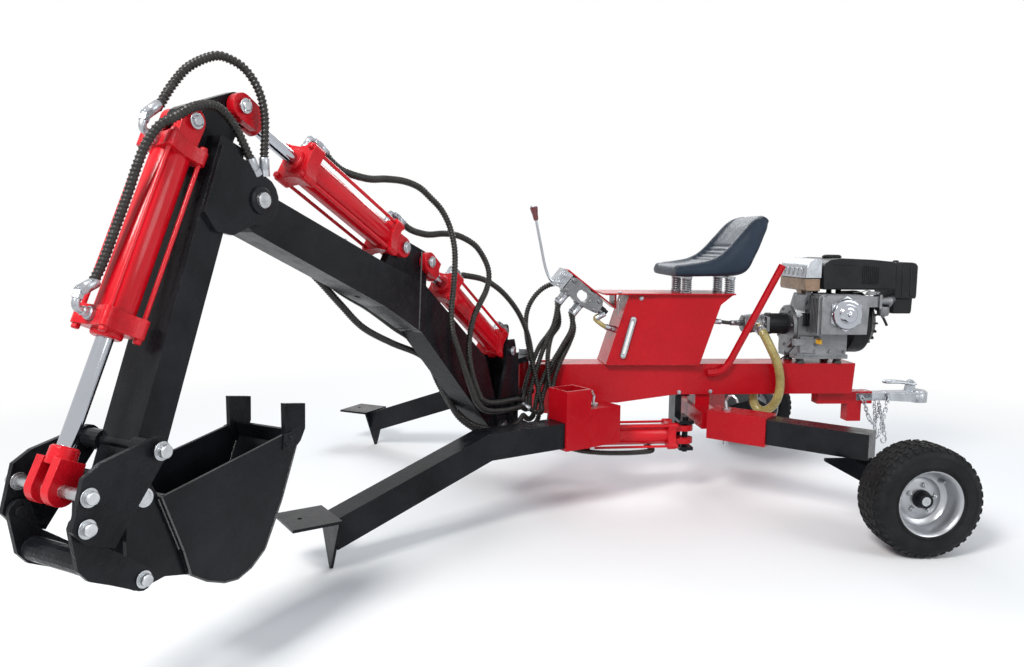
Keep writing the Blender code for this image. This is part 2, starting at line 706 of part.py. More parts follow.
def control_lever(mat):
    """Bent rod from an eye on the yoke's side up to a tall knob."""
    x, y, z = lever_pivot()
    out = y - LEVER_SIDE - 0.008
    route = smooth_route([(x, out, z), (x - 0.026, out - 0.006, z + 0.014),
                          (x - 0.044, out - 0.010, z + 0.060), (x - 0.066, out - 0.018, z + 0.170),
                          (x - 0.090, out - 0.026, z + 0.285)], 14)
    rod = solid_from(swept(route, 0.006, 10))
    lean = Vector((-0.21, -0.07, 1)).normalized()
    foot = Vector((x - 0.0855, out - 0.0245, z + 0.263))
    knob = turned([(0.0, 0.004), (0.0, 0.011), (0.030, 0.015), (0.050, 0.017), (0.060, 0.012),
                   (0.060, 0.004)], foot, lean, 14)
    plug = bar(foot - lean * 0.004, foot + lean * 0.058, 0.005, 12)
    eye = bar((x, y - LEVER_SIDE - 0.016, z), (x, y - LEVER_SIDE - GAP, z), 0.010, 16)
    join(rod, eye, plug, knob)
    return place("control_lever", rod, mat, None, (x, y, z))


# ---------------------------------------------------------------- engine and pump
def engine_block(mat):
    """Crankcase with its slanted cylinder, on rubber feet bolted to the beam."""
    case = box(1.180, 1.405, -0.105, 0.110, ENGINE_FLOOR, 0.800)
    case_nose = bar((1.168, 0, CRANK_Z), (1.200, 0, CRANK_Z), 0.060, 20)
    barrel = box(1.225, 1.425, -0.205, -0.040, 0.715, 0.885)
    shoulder = plate([(1.215, 0.780), (1.420, 0.780), (1.410, 0.880), (1.240, 0.880)], -0.08, 0.09)
    rail = box(1.190, 1.410, -0.085, 0.085, ENGINE_FLOOR - 0.010, ENGINE_FLOOR + 0.010)
    feet = [bar((x, y, BEAM_TOP + GAP), (x, y, ENGINE_FLOOR), 0.017, 12)
            for x in (1.215, 1.385) for y in (-0.055, 0.055)]
    join(case, case_nose, barrel, shoulder, rail, *feet)
    crank = bar((1.150, 0, CRANK_Z), (1.300, 0, CRANK_Z), 0.0135 + PIN_GAP, 16)
    cut(case, crank)
    return place("engine_block", case, mat)


def fuel_tank_cover(mat):
    outline = [(1.262, 0.905), (1.255, 0.990), (1.285, 1.032), (1.335, 1.040), (1.470, 1.036),
               (1.575, 1.024), (1.578, 0.905)]
    tank = plate(outline, -0.165, 0.165)
    cap = bar((1.357, -0.020, 1.030), (1.357, -0.020, 1.052), 0.036, 16)
    mounts = [bar((x, y, 0.880 + GAP), (x, y, 0.910), 0.012, 10)
              for x in (1.290, 1.395) for y in (-0.020, 0.070)]
    join(tank, cap, *mounts)
    return place("fuel_tank_cover", tank, mat)


def muffler_guard(mat):
    outline = [(1.185, 0.900), (1.178, 0.945), (1.186, 1.005), (1.215, 1.033), (1.248, 1.036),
               (1.248, 0.895)]
    guard = plate(outline, -0.160, 0.120)
    pipe = plate([(1.218, 0.896), (1.246, 0.896), (1.2485, 0.8805 + GAP), (1.222, 0.8805 + GAP)],
                 -0.035, 0.020)
    pad = box(1.2405, 1.248, -0.035, 0.020, 0.880 + GAP, 0.900)
    join(guard, pipe, pad)
    return place("muffler_guard", guard, mat)


def air_cleaner(mat):
    case = plate([(1.582, 0.800), (1.668, 0.800), (1.672, 0.860), (1.682, 0.860), (1.682, 1.012),
                  (1.660, 1.022), (1.582, 1.024)], -0.150, 0.020)
    return place("air_cleaner", case, mat)


def valve_cover(mat):
    """Pressed six-sided cover of the cylinder head."""
    cover = bar((1.345, -0.205 - GAP, 0.805), (1.345, -0.238, 0.805), 0.073, 6)
    dome = turned([(0.0, 0.002), (0.0, 0.046), (0.008, 0.040), (0.012, 0.002)],
                  (1.345, -0.237, 0.805), (0, -1, 0), 20)
    join(cover, dome)
    return place("valve_cover", cover, mat)


def blower_housing(mat):
    """Fan shroud and recoil starter on the crank's rear end."""
    drum = turned([(0.0, 0.002), (0.0, 0.138), (0.075, 0.138), (0.095, 0.112), (0.118, 0.085),
                   (0.122, 0.002)], (1.4250 + GAP, 0, CRANK_Z + 0.010), (1, 0, 0), 20)
    grip = bar((1.520, 0.060, 0.850), (1.520, 0.105, 0.880), 0.009, 10)
    join(drum, grip)
    return place("blower_housing", drum, mat)


def carburettor(mat):
    flange = box(1.425 + GAP, 1.560, -0.175, -0.145, 0.830, 0.880)
    bowl = bar((1.530, -0.160, 0.790), (1.530, -0.160, 0.832), 0.024, 16)
    intake = bar((1.550, -0.120, 0.860), (1.582 - GAP, -0.120, 0.860), 0.020, 14)
    elbow = box(1.528, 1.560, -0.150, -0.105, 0.840, 0.878)
    join(flange, bowl, intake, elbow)
    return place("carburettor", flange, mat)


PUMP_FACE = 1.078


def bell_housing(mat):
    """Open-sided adapter between engine and pump."""
    shell = bar((PUMP_FACE + GAP, 0, CRANK_Z), (1.168 - GAP, 0, CRANK_Z), 0.048, 20)
    inner = bar((PUMP_FACE - 0.01, 0, CRANK_Z), (1.180, 0, CRANK_Z), 0.034, 20)
    window = box(1.098, 1.148, -0.020, 0.020, CRANK_Z - 0.08, CRANK_Z + 0.08)
    cut(shell, inner, window)
    return place("bell_housing", shell, mat)


def drive_coupling(mat):
    """Crankshaft stub, coupling and pump shaft: they turn together inside the bell housing."""
    coupling = bar((1.086, 0, CRANK_Z), (1.158, 0, CRANK_Z), 0.026, 20)
    crank = bar((1.150, 0, CRANK_Z), (1.290, 0, CRANK_Z), 0.0135, 16)
    pump_shaft = bar((1.050, 0, CRANK_Z), (1.090, 0, CRANK_Z), 0.0095, 16)
    join(coupling, crank, pump_shaft)
    return place("drive_coupling", coupling, mat, None, (1.120, 0, CRANK_Z))


def pump(mat):
    body = bar((0.968, 0, CRANK_Z), (PUMP_FACE, 0, CRANK_Z), 0.040, 20)
    flange = box(1.064, PUMP_FACE, -0.050, 0.050, CRANK_Z - 0.032, CRANK_Z + 0.032)
    inlet = bar((1.020, 0, CRANK_Z - 0.010), (1.020, -0.062, CRANK_Z - 0.010), 0.022, 16)
    outlet = bar((0.985, 0, CRANK_Z + 0.004), (0.945, -0.020, CRANK_Z + 0.004), 0.013, 14)
    join(body, flange, inlet, outlet)
    bore = bar((1.040, 0, CRANK_Z), (1.100, 0, CRANK_Z), 0.0095 + PIN_GAP, 16)
    cut(body, bore)
    return place("pump", body, mat)


SUCTION_ROUTE = [
    (1.0200, -0.0627, 0.7350), (1.0200, -0.0690, 0.7350), (1.0200, -0.0760, 0.7345),
    (1.0320, -0.1040, 0.7060),
    (1.0620, -0.1160, 0.6450), (1.0960, -0.1140, 0.5750), (1.1120, -0.1090, 0.5000),
    (1.1080, -0.1030, 0.4350), (1.0900, -0.0880, 0.3880), (1.0640, -0.0600, 0.3620),
    (1.0400, -0.0350, 0.3720), (1.0285, -0.0235, 0.4020), (1.0280, -0.0230, 0.4390),
]
PRESSURE_ROUTE = [
    (0.9440, -0.0206, 0.7490), (0.9200, -0.0320, 0.7500), (0.8900, -0.0420, 0.7520),
    (0.8600, -0.0450, 0.7560), (0.8240, -0.0450, 0.7600), (0.8165, -0.0450, 0.7602),
]


def suction_hose(mat):
    return place("suction_hose", swept(smooth_route(SUCTION_ROUTE, 25), 0.0195, 8), mat)


def pressure_hose(mat):
    return place("pressure_hose", swept(smooth_route(PRESSURE_ROUTE, 8), 0.0080, 8), mat)


# ---------------------------------------------------------------- hitch
def tow_tube(mat):
    top = BEAM_BOTTOM - GAP
    tube = box(1.320, 1.575, -0.030, 0.030, top - 0.055, top)
    post = box(1.462, 1.526, -0.030, 0.030, 0.305, top - 0.020)
    join(tube, post)
    bore = box(1.380, 1.600, -0.025, 0.025, top - 0.050, top - 0.005)
    post_bore = box(1.467, 1.521, -0.025, 0.025, 0.295, top - 0.030)
    cut(tube, bore, post_bore)
    return place("tow_tube", tube, mat)


def coupler(mat):
    """Pressed ball coupler, open underneath, its shank bolted in the tow tube."""
    top = BEAM_BOTTOM - GAP - 0.0055
    low = top - 0.048
    shank = box(1.500, 1.760, -0.0245, 0.0245, low + 0.004, top)
    head = plate([(1.640, low), (1.640, top), (1.720, top), (1.760, top + 0.005),
                  (1.820, top + 0.005), (1.850, top - 0.012), (1.852, low)], -0.036, 0.036)
    post = box(1.757, 1.777, -0.0128, 0.0128, top, top + 0.0478)
    join(shank, head, post)
    ball_seat = bar((1.805, 0, low - 0.01), (1.805, 0, low + 0.036), 0.026, 20)
    channel = box(1.660, 1.830, -0.020, 0.020, low - 0.01, low + 0.030)
    hollow = box(1.490, 1.652, -0.018, 0.018, low + 0.010, top - 0.006)
    cut(shank, ball_seat, channel, hollow)
    return place("coupler", shank, mat)


LATCH_PIVOT = (1.767, 0, 0.470)


def coupler_latch(mat):
    """Lever that closes the coupler on the ball: a handle loop on two cheeks."""
    x, _, z = LATCH_PIVOT
    loop = plate([(x - 0.020, z - 0.010), (x + 0.016, z - 0.018), (x + 0.018, z + 0.010),
                  (x + 0.004, z + 0.026), (x - 0.100, z + 0.018), (x - 0.122, z + 0.004),
                  (x - 0.124, z - 0.022), (x - 0.110, z - 0.022), (x - 0.108, z - 0.002),
                  (x - 0.096, z + 0.004), (x - 0.034, z + 0.008)], -0.020, 0.020)
    slot = box(x - 0.030, x + 0.040, -0.0135, 0.0135, z - 0.03, z + 0.0165)
    cut(loop, slot)
    bosses = [bar((x, -0.0250, z), (x, -0.0150, z), 0.009, 12),
              bar((x, 0.0150, z), (x, 0.0250, z), 0.009, 12)]
    join(loop, *bosses)
    return place("coupler_latch", loop, mat, None, LATCH_PIVOT)


# ---------------------------------------------------------------- wheels
def tyre(side, mat):
    half = TYRE_HALF
    profile = [(-half + 0.012, RIM_R + GAP), (-half, RIM_R + 0.020), (-half, 0.160),
               (-half + 0.012, 0.188), (-half + 0.032, TYRE_R - 0.003), (0.0, TYRE_R),
               (half - 0.032, TYRE_R - 0.003), (half - 0.012, 0.188), (half, 0.160),
               (half, RIM_R + 0.020), (half - 0.012, RIM_R + GAP)]
    body = turned(profile, (WHEEL_X, side * WHEEL_Y, WHEEL_Z), (0, 1, 0), 24)
    name = "tyre_left" if side < 0 else "tyre_right"
    return place(name, body, mat, None, (WHEEL_X, side * WHEEL_Y, WHEEL_Z))


def rim(side, mat):
    """Pressed rim, disc and hub in one; profile distances run outwards from the wheel's middle."""
    out = TYRE_HALF - 0.012
    bore = HUB_BORE_R
    profile = [(-0.078, bore), (-0.078, 0.026), (0.002, 0.030), (0.016, 0.084), (-out, 0.106),
               (-out, RIM_R), (out, RIM_R), (out, 0.108), (0.026, 0.084), (0.012, 0.032),
               (0.046, 0.028), (0.046, bore)]
    body = turned(profile, (WHEEL_X, side * WHEEL_Y, WHEEL_Z), (0, side, 0), 24)
    name = "rim_left" if side < 0 else "rim_right"
    return place(name, body, mat, None, (WHEEL_X, side * WHEEL_Y, WHEEL_Z))


# ---------------------------------------------------------------- digging arm
def swing_post(mat):
    """Welded post: two cheeks for the boom and its lift cylinder, lugs for the kingpin."""
    inner = BOOM_HALF + SIDE_GAP
    outline = [(0.190, 0.262), (0.345, 0.262), (0.352, 0.300), (0.352, 0.400), (0.300, 0.545),
               (0.272, 0.600), (0.275, 0.685), (0.255, 0.702), (0.205, 0.700), (0.190, 0.660)]
    cheeks = [plate(outline, inner, inner + CHEEK), plate(outline, -inner - CHEEK, -inner)]
    web = box(0.168, 0.180, -inner - CHEEK, inner + CHEEK, 0.262, 0.640)
    tie = box(0.178, 0.1905, -inner - CHEEK, inner + CHEEK, 0.400, 0.640)
    back = box(0.178, 0.1905, -inner - CHEEK, inner + CHEEK, 0.262, 0.401)
    lugs = []
    for low, high in ((HOUSING_HIGH + 0.003, 0.612), (0.438, HOUSING_LOW - 0.003)):
        outline_xy = [(0.175, -0.050), (0.175, 0.050)] + arc((0, 0), 0.046, 90, 270, 10)
        lugs.append(slab(outline_xy, low, high))
    x, y = SWING_ARM
    arm = slab([(0.190, -0.058), (0.345, -0.058), (0.345, 0.058), (0.240, 0.080),
                (0.120, 0.178)] + arc((x, y), CLEVIS_R, 40, 230, 8) + [(0.100, 0.080)],
               0.262, 0.288)
    post = web
    join(post, tie, back, *cheeks)
    join(post, arm, *lugs)
    kingpin = bar((0, 0, 0.42), (0, 0, 0.63), KINGPIN_R + PIN_GAP)
    holes = [kingpin]
    for px, pz in (FOOT_PIVOT, LIFT_BASE):
        holes.append(bar((px, -0.07, pz), (px, 0.07, pz), 0.0150 + PIN_GAP))
    cut(post, *holes)
    return place("swing_post", post, mat, arm_frame())


BOOM_OUTLINE = [
    (0.420, 0.650), (0.345, 0.480), (0.268, 0.385), (0.258, 0.350), (0.275, 0.318),
    (0.305, 0.311), (0.345, 0.325), (0.860, 0.789), (1.066, 0.892), (1.620, 1.118),
    (1.655, 1.150), (1.668, 1.190), (1.655, 1.225), (1.625, 1.240), (1.590, 1.226),
    (1.064, 1.029), (0.840, 0.950),
]


def pin_pair(point, inner, outer, radius):
    """Two stub pins, one each side, at a pivot that is left open."""
    x, z = point
    return [bar((x, s * inner, z), (x, s * outer, z), radius) for s in (-1, 1)]


def boom(mat):
    body = plate(BOOM_OUTLINE, -BOOM_HALF, BOOM_HALF)
    tab = [(0.780, 0.885), (0.788, 0.935)] + arc(LIFT_ROD, 0.036, 240, 95, 6) \
        + arc(CROWD_BASE, 0.036, 100, 0, 6) + [(1.040, 1.000), (1.000, 0.960)]
    ear = plate(tab, -TAB_HALF, TAB_HALF)
    bosses = [bar((ELBOW[0], s * (BOOM_HALF - 0.004), ELBOW[1]),
                  (ELBOW[0], s * (DIPPER_HALF_Y - SIDE_GAP), ELBOW[1]), 0.034) for s in (-1, 1)]
    join(body, ear, *bosses)
    inner_line = inset(BOOM_OUTLINE, WALL)
    hollow = plate(inner_line, -BOOM_HALF + WALL, BOOM_HALF - WALL)
    core = bar((ELBOW[0], -0.05, ELBOW[1]), (ELBOW[0], 0.05, ELBOW[1]), 0.032)
    foot = bar((FOOT_PIVOT[0], -0.05, FOOT_PIVOT[1]), (FOOT_PIVOT[0], 0.05, FOOT_PIVOT[1]), 0.028)
    cut(hollow, core, foot)
    drain = bar((1.150, 0, 0.90), (1.150, 0, 0.97), 0.010, 12)
    elbow_hole = bar((ELBOW[0], -0.08, ELBOW[1]), (ELBOW[0], 0.08, ELBOW[1]), 0.0190 + PIN_GAP)
    foot_hole = bar((FOOT_PIVOT[0], -0.08, FOOT_PIVOT[1]), (FOOT_PIVOT[0], 0.08, FOOT_PIVOT[1]),
                    0.0150 + PIN_GAP)
    cut(body, hollow, drain, elbow_hole, foot_hole)
    crowd_pin = bar((CROWD_BASE[0], -0.047, CROWD_BASE[1]), (CROWD_BASE[0], 0.047, CROWD_BASE[1]),
                    PIN_R)
    join(body, crowd_pin)
    pivot = (FOOT_PIVOT[0], 0, FOOT_PIVOT[1])
    return place("boom", body, mat, arm_frame(), pivot)


def headed_pin(name, point, half, radius, mat):
    """Cross pin with a round head welded on its operator-left end and a washer on the other."""
    x, z = point
    pin = bar((x, -half - 0.012, z), (x, half + 0.012, z), radius)
    head = bar((x, half + GAP, z), (x, half + 0.008, z), radius + 0.009)
    washer = bar((x, -half - 0.006, z), (x, -half - GAP, z), radius + 0.008)
    join(pin, head, washer)
    return place(name, pin, mat, arm_frame(), (x, 0, z))


def dipper_point(along, out):
    """Point of the dipper: along it from the elbow, and out from its centreline."""
    lean = Vector((sin(DIPPER_LEAN), -cos(DIPPER_LEAN)))
    away = Vector((cos(DIPPER_LEAN), sin(DIPPER_LEAN)))
    point = Vector(ELBOW) + away * (DIPPER_OFFSET + out) + lean * along
    return (point.x, point.y)


def dipper(mat):
    """Square tube, a centre plate for two cylinders on top, ear plates that hold the elbow."""
    half = DIPPER_HALF_X
    tube_line = [dipper_point(-0.100, -half), dipper_point(-0.100, half),
                 dipper_point(0.725, half)] \
        + arc(BUCKET_PIVOT, DIPPER_NOSE, 10, -170, 8) + [dipper_point(0.660, -half)]
    tube = plate(tube_line, -DIPPER_HALF_Y, DIPPER_HALF_Y)
    crank = plate([(1.700, 1.255), (1.648, 1.335), (1.620, 1.388)]
                  + arc(CROWD_ROD, 0.036, 205, 80, 6) + arc(CURL_BASE, 0.036, 70, -60, 6)
                  + [(1.745, 1.310), (1.750, 1.270)], -TAB_HALF, TAB_HALF)
    ear_line = [dipper_point(-0.075, -0.010), dipper_point(-0.075, half - 0.002),
                dipper_point(0.095, half - 0.002), dipper_point(0.125, -0.010),
                dipper_point(0.115, -0.060)] + arc(ELBOW, 0.064, 290, 130, 8)
    ears = [plate(ear_line, DIPPER_HALF_Y - 0.001, DIPPER_HALF_Y + CHEEK),
            plate(ear_line, -DIPPER_HALF_Y - CHEEK, -DIPPER_HALF_Y + 0.001)]
    boss_out = EAR_IN - SIDE_GAP
    bosses = []
    for s in (-1, 1):
        bosses.append(bar((BUCKET_PIVOT[0], s * 0.055, BUCKET_PIVOT[1]),
                          (BUCKET_PIVOT[0], s * boss_out, BUCKET_PIVOT[1]), 0.030))
        bosses.append(bar((ROCKER_PIVOT[0], s * 0.055, ROCKER_PIVOT[1]),
                          (ROCKER_PIVOT[0], s * rocker_inner(), ROCKER_PIVOT[1]), 0.024))
    hollow = plate([dipper_point(-0.120, -half + LEG_WALL), dipper_point(-0.120, half - LEG_WALL),
                    dipper_point(0.600, half - LEG_WALL), dipper_point(0.600, -half + LEG_WALL)],
                   -DIPPER_HALF_Y + LEG_WALL, DIPPER_HALF_Y - LEG_WALL)
    cut(tube, hollow)
    join(tube, crank, *ears)
    join(tube, *bosses)
    elbow_hole = bar((ELBOW[0], -0.08, ELBOW[1]), (ELBOW[0], 0.08, ELBOW[1]), 0.0190 + PIN_GAP)
    cut(tube, elbow_hole)
    pins = [bar((CURL_BASE[0], -0.047, CURL_BASE[1]), (CURL_BASE[0], 0.047, CURL_BASE[1]), PIN_R)]
    for point, reach in ((BUCKET_PIVOT, EAR_IN + LINK_PLATE + 0.010),
                         (ROCKER_PIVOT, rocker_inner() + LINK_PLATE + SIDE_GAP + 0.010)):
        pins.append(bar((point[0], -reach, point[1]), (point[0], reach, point[1]), PIN_R))
    join(tube, *pins)
    return place("dipper", tube, mat, arm_frame(), (ELBOW[0], 0, ELBOW[1]))


def rocker_inner():
    """Inner face of the dipper's rocker boss: the rocker plates start a side gap beyond it."""
    return EAR_IN + 2 * PLATE_STEP - SIDE_GAP


def rocker(mat):
    """Two side plates on the dipper's upper pin, tied by a cross tube."""
    outer = rocker_inner() + SIDE_GAP + LINK_PLATE
    line = arc(ROCKER_PIVOT, 0.030, 95, 235, 6) + [(2.100, 0.468), (2.168, 0.500),
                                                   (2.190, 0.530), (2.161, 0.630), (2.120, 0.652)]
    start = rocker_inner() + SIDE_GAP
    body = bar((2.068, -outer + 0.002, 0.596), (2.068, outer - 0.002, 0.596), 0.014)
    plates = [plate(line, start, outer), plate(line, -outer, -start)]
    reach = EAR_IN + PLATE_STEP - 0.004
    pins = pin_pair(LINK_TOP, reach, outer + 0.008, PIN_R)
    join(body, *plates, *pins)
    bore = bar((ROCKER_PIVOT[0], -0.14, ROCKER_PIVOT[1]), (ROCKER_PIVOT[0], 0.14, ROCKER_PIVOT[1]),
               PIN_R + PIN_GAP)
    cut(body, bore)
    return place("rocker", body, mat, arm_frame(), (ROCKER_PIVOT[0], 0, ROCKER_PIVOT[1]))


def bucket_link(mat):
    """Bowed link: two plates and a cross tube, from the rocker's end to the bucket's ears."""
    start = EAR_IN + PLATE_STEP
    line = arc(LINK_TOP, 0.026, 150, -20, 6) + [(2.172, 0.440), (2.150, 0.412), (2.100, 0.385)] \
        + arc(LINK_LOW, 0.026, -60, -220, 6) + [(2.085, 0.452), (2.118, 0.478)]
    body = bar((2.138, -start - 0.002, 0.442), (2.138, start + 0.002, 0.442), 0.026)
    plates = [plate(line, start, start + LINK_PLATE), plate(line, -start - LINK_PLATE, -start)]
    join(body, *plates)
    bore = bar((LINK_TOP[0], -0.14, LINK_TOP[1]), (LINK_TOP[0], 0.14, LINK_TOP[1]),
               PIN_R + PIN_GAP)
    cut(body, bore)
    return place("bucket_link", body, mat, arm_frame(), (LINK_TOP[0], 0, LINK_TOP[1]))


BUCKET_WALL = 0.008
BUCKET_OUTLINE = [
    (1.552, 0.604), (1.546, 0.562), (1.604, 0.432), (1.638, 0.370), (1.670, 0.316), (1.716, 0.285),
    (1.761, 0.272), (1.803, 0.279), (1.856, 0.303), (1.900, 0.334), (1.918, 0.398), (1.970, 0.537),
]


def bucket(mat):
    """Trenching bucket: bent belly, two sides, an upright blade on each side, two ears."""
    half = BUCKET_HALF
    shell = plate(BUCKET_OUTLINE, -half, half)
    inner = inset(BUCKET_OUTLINE, BUCKET_WALL)
    inner[0] = (1.5650, 0.626)
    inner[-1] = (1.9625, 0.560)
    hollow = plate(inner, -half + BUCKET_WALL, half - BUCKET_WALL)
    cut(shell, hollow)
    ear_line = [(1.960, 0.512), (1.972, 0.545)] + arc(BUCKET_PIVOT, 0.034, 140, 0, 6) \
        + [(2.052, 0.460)] + arc(LINK_LOW, 0.028, 20, -110, 5) + [(1.960, 0.350), (1.893, 0.330),
                                                                  (1.914, 0.400)]
    blade = [(1.586, 0.679), (1.586, 0.590), (1.560, 0.545), (1.528, 0.569), (1.510, 0.598),
             (1.508, 0.666)]
    added = []
    for side in (-1, 1):
        y0, y1 = sorted((side * EAR_IN, side * (EAR_IN + LINK_PLATE)))
        added.append(plate(ear_line, y0, y1))
        y0, y1 = sorted((side * (half - 0.014), side * (half - 0.001)))
        added.append(plate(blade, y0, y1))
    join(shell, *added)
    bore = bar((BUCKET_PIVOT[0], -0.12, BUCKET_PIVOT[1]), (BUCKET_PIVOT[0], 0.12, BUCKET_PIVOT[1]),
               PIN_R + PIN_GAP)
    cut(shell, bore)
    return place("bucket", shell, mat, arm_frame(), (BUCKET_PIVOT[0], 0, BUCKET_PIVOT[1]))


def bucket_hose(mat):
    """Hose over the dipper's top, down onto its ear; 10 mm clear of the port, which turns."""
    route = [(1.8860, 0.000, 1.3386), (1.8980, 0.000, 1.3490), (1.9030, 0.002, 1.3800),
             (1.8800, 0.006, 1.4450), (1.8050, 0.014, 1.5120), (1.7100, 0.026, 1.5450),
             (1.6350, 0.046, 1.5200), (1.6020, 0.062, 1.4600), (1.5920, 0.066, 1.3700),
             (1.5955, 0.066, 1.2617)]
    points = smooth_route(route, 17)
    return place("bucket_hose", swept(points, 0.0105, 8), mat, arm_frame())


# ---------------------------------------------------------------- hydraulic cylinders
def clevis(pin_x, back, slot):
    """Fork about a pin at pin_x; its shank runs back along x and the slot is open at the pin."""
    turn = 1 if back > pin_x else -1
    line = arc((pin_x, 0), CLEVIS_R, 90 * turn, 90 * turn + 180, 6) \
        + [(back, -turn * CLEVIS_R), (back, turn * CLEVIS_R)]
    fork = plate(line, -CLEVIS_HALF, CLEVIS_HALF)
    ends = sorted((pin_x - turn * 0.05, pin_x + turn * slot))
    gap = TAB_HALF + SIDE_GAP
    cut(fork, box(ends[0], ends[1], -gap, gap, -0.05, 0.05))
    return fork


def barrel(name, frame, body, pin, mat):
    """Tie-rod cylinder from its base pin at the origin to its head cap; its bore holds the rod."""
    cap = CYL_CAP
    fork = clevis(0.0, 0.058, 0.0405)
    base = box(0.055, 0.090, -cap, cap, -cap, cap)
    head = box(body - 0.045, body, -cap, cap, -cap, cap)
    tube = bar((0.088, 0, 0), (body - 0.043, 0, 0), CYL_TUBE)
    corner = cap - 0.0095
    ties = [bar((0.050, sy * corner, sz * corner), (body + 0.006, sy * corner, sz * corner),
                TIE_R, 4) for sy in (-1, 1) for sz in (-1, 1)]
    ports = [bar((x, 0, cap - 0.004), (x, 0, cap + 0.012), 0.014, 8)
             for x in (0.0725, body - 0.0225)]
    bore = bar((0.090, 0, 0), (body - 0.045, 0, 0), CYL_BORE)
    rod_hole = bar((body - 0.06, 0, 0), (body + 0.02, 0, 0), CYL_ROD + PIN_GAP)
    join(base, tube, head, *ties)
    join(base, fork, *ports)
    cut(base, bore, rod_hole)
    if pin:
        join(base, bar((0, -0.0665, 0), (0, 0.0665, 0), 0.0150))
    else:
        cut(base, bar((0, -0.05, 0), (0, 0.05, 0), PIN_R + PIN_GAP))
    return place(name, base, mat, frame)


def rod(name, frame, length, back, pin_half, mat):
    """Piston, rod and clevis; the pin's ends ride with the clevis, its middle is left open."""
    fork = clevis(length, length - CLEVIS_SHANK, 0.060)
    shaft = bar((length - back, 0, 0), (length - CLEVIS_SHANK + 0.01, 0, 0), CYL_ROD)
    piston = bar((length - back - 0.015, 0, 0), (length - back + 0.015, 0, 0), CYL_BORE - 0.0008)
    caps = [bar((length, s * 0.030, 0), (length, s * pin_half, 0), PIN_R) for s in (-1, 1)]
    join(fork, shaft, piston, *caps)
    return place(name, fork, mat, frame)


# ---------------------------------------------------------------- assembly
RED = (0.480, 0.006, 0.010)
GLOSS_RED = (0.560, 0.008, 0.008)
BLACK = (0.012, 0.012, 0.014)
STEEL = (0.560, 0.570, 0.580)
ZINC = (0.620, 0.630, 0.640)
CHROME = (0.720, 0.730, 0.740)
CAST = (0.180, 0.185, 0.190)
RUBBER = (0.020, 0.020, 0.020)
VINYL = (0.045, 0.052, 0.062)
CLEAR = (0.560, 0.480, 0.220)


def paint(name, rgb=RED, rough=0.3, metal=0.0):
    return material(name + "_surface", rgb, rough, metal)


def build_chassis():
    main_beam(paint("main_beam"))
    front_crossmember(paint("front_crossmember"))
    rear_crossmember(paint("rear_crossmember"))
    for side, word in ((-1, "left"), (1, "right")):
        front_leg(side, paint("front_leg_" + word))
        rear_leg(side, paint("rear_leg_" + word))
        tyre(side, paint("tyre_" + word, RUBBER, 0.8))
        rim(side, paint("rim_" + word, ZINC, 0.35, 1.0))
        socket_pin("front_pin_" + word, paint("front_pin_" + word, ZINC, 0.35, 1.0),
                   leg_frame(side), FRONT_MOUTH + FRONT_COLLAR + 0.060,
                   FRONT_SOCKET_LOW, FRONT_SOCKET_HIGH)
        socket_pin("rear_pin_" + word, paint("rear_pin_" + word, ZINC, 0.35, 1.0),
                   rear_frame(side), REAR_MOUTH + REAR_SOCKET - 0.060,
                   REAR_LEG_Z - SOCKET_HALF, REAR_LEG_Z + SOCKET_HALF)
    swing_bracket(paint("swing_bracket", BLACK, 0.3))
    swing_kingpin(paint("swing_kingpin", ZINC, 0.3, 1.0))
    tow_tube(paint("tow_tube"))
    coupler(paint("coupler", ZINC, 0.4, 1.0))
    coupler_latch(paint("coupler_latch", ZINC, 0.4, 1.0))


def build_station():
    console_tank(paint("console_tank"))
    deck_plate(paint("deck_plate"))
    sight_gauge(paint("sight_gauge", STEEL, 0.3, 1.0))
    seat(paint("seat", VINYL, 0.55))
    seat_spring("seat_spring_front", SPRING_X[0], paint("seat_spring_front", ZINC, 0.35, 1.0))
    seat_spring("seat_spring_rear", SPRING_X[1], paint("seat_spring_rear", ZINC, 0.35, 1.0))
    grab_bar(paint("grab_bar"))
    valve_bank(paint("valve_bank", STEEL, 0.4, 1.0))
    valve_bracket(paint("valve_bracket"))
    lever_yoke(paint("lever_yoke", STEEL, 0.4, 1.0))
    control_lever(paint("control_lever", CHROME, 0.25, 1.0))


def build_engine():
    engine_block(paint("engine_block", CAST, 0.5, 1.0))
    fuel_tank_cover(paint("fuel_tank_cover", BLACK, 0.4))
    muffler_guard(paint("muffler_guard", STEEL, 0.35, 1.0))
    air_cleaner(paint("air_cleaner", BLACK, 0.45))
    valve_cover(paint("valve_cover", CHROME, 0.15, 1.0))
    blower_housing(paint("blower_housing", BLACK, 0.4))
    carburettor(paint("carburettor", STEEL, 0.4, 1.0))
    bell_housing(paint("bell_housing", BLACK, 0.45))
    drive_coupling(paint("drive_coupling", STEEL, 0.35, 1.0))
    pump(paint("pump", STEEL, 0.4, 1.0))
    suction_hose(paint("suction_hose", CLEAR, 0.35))
    pressure_hose(paint("pressure_hose", RUBBER, 0.55))


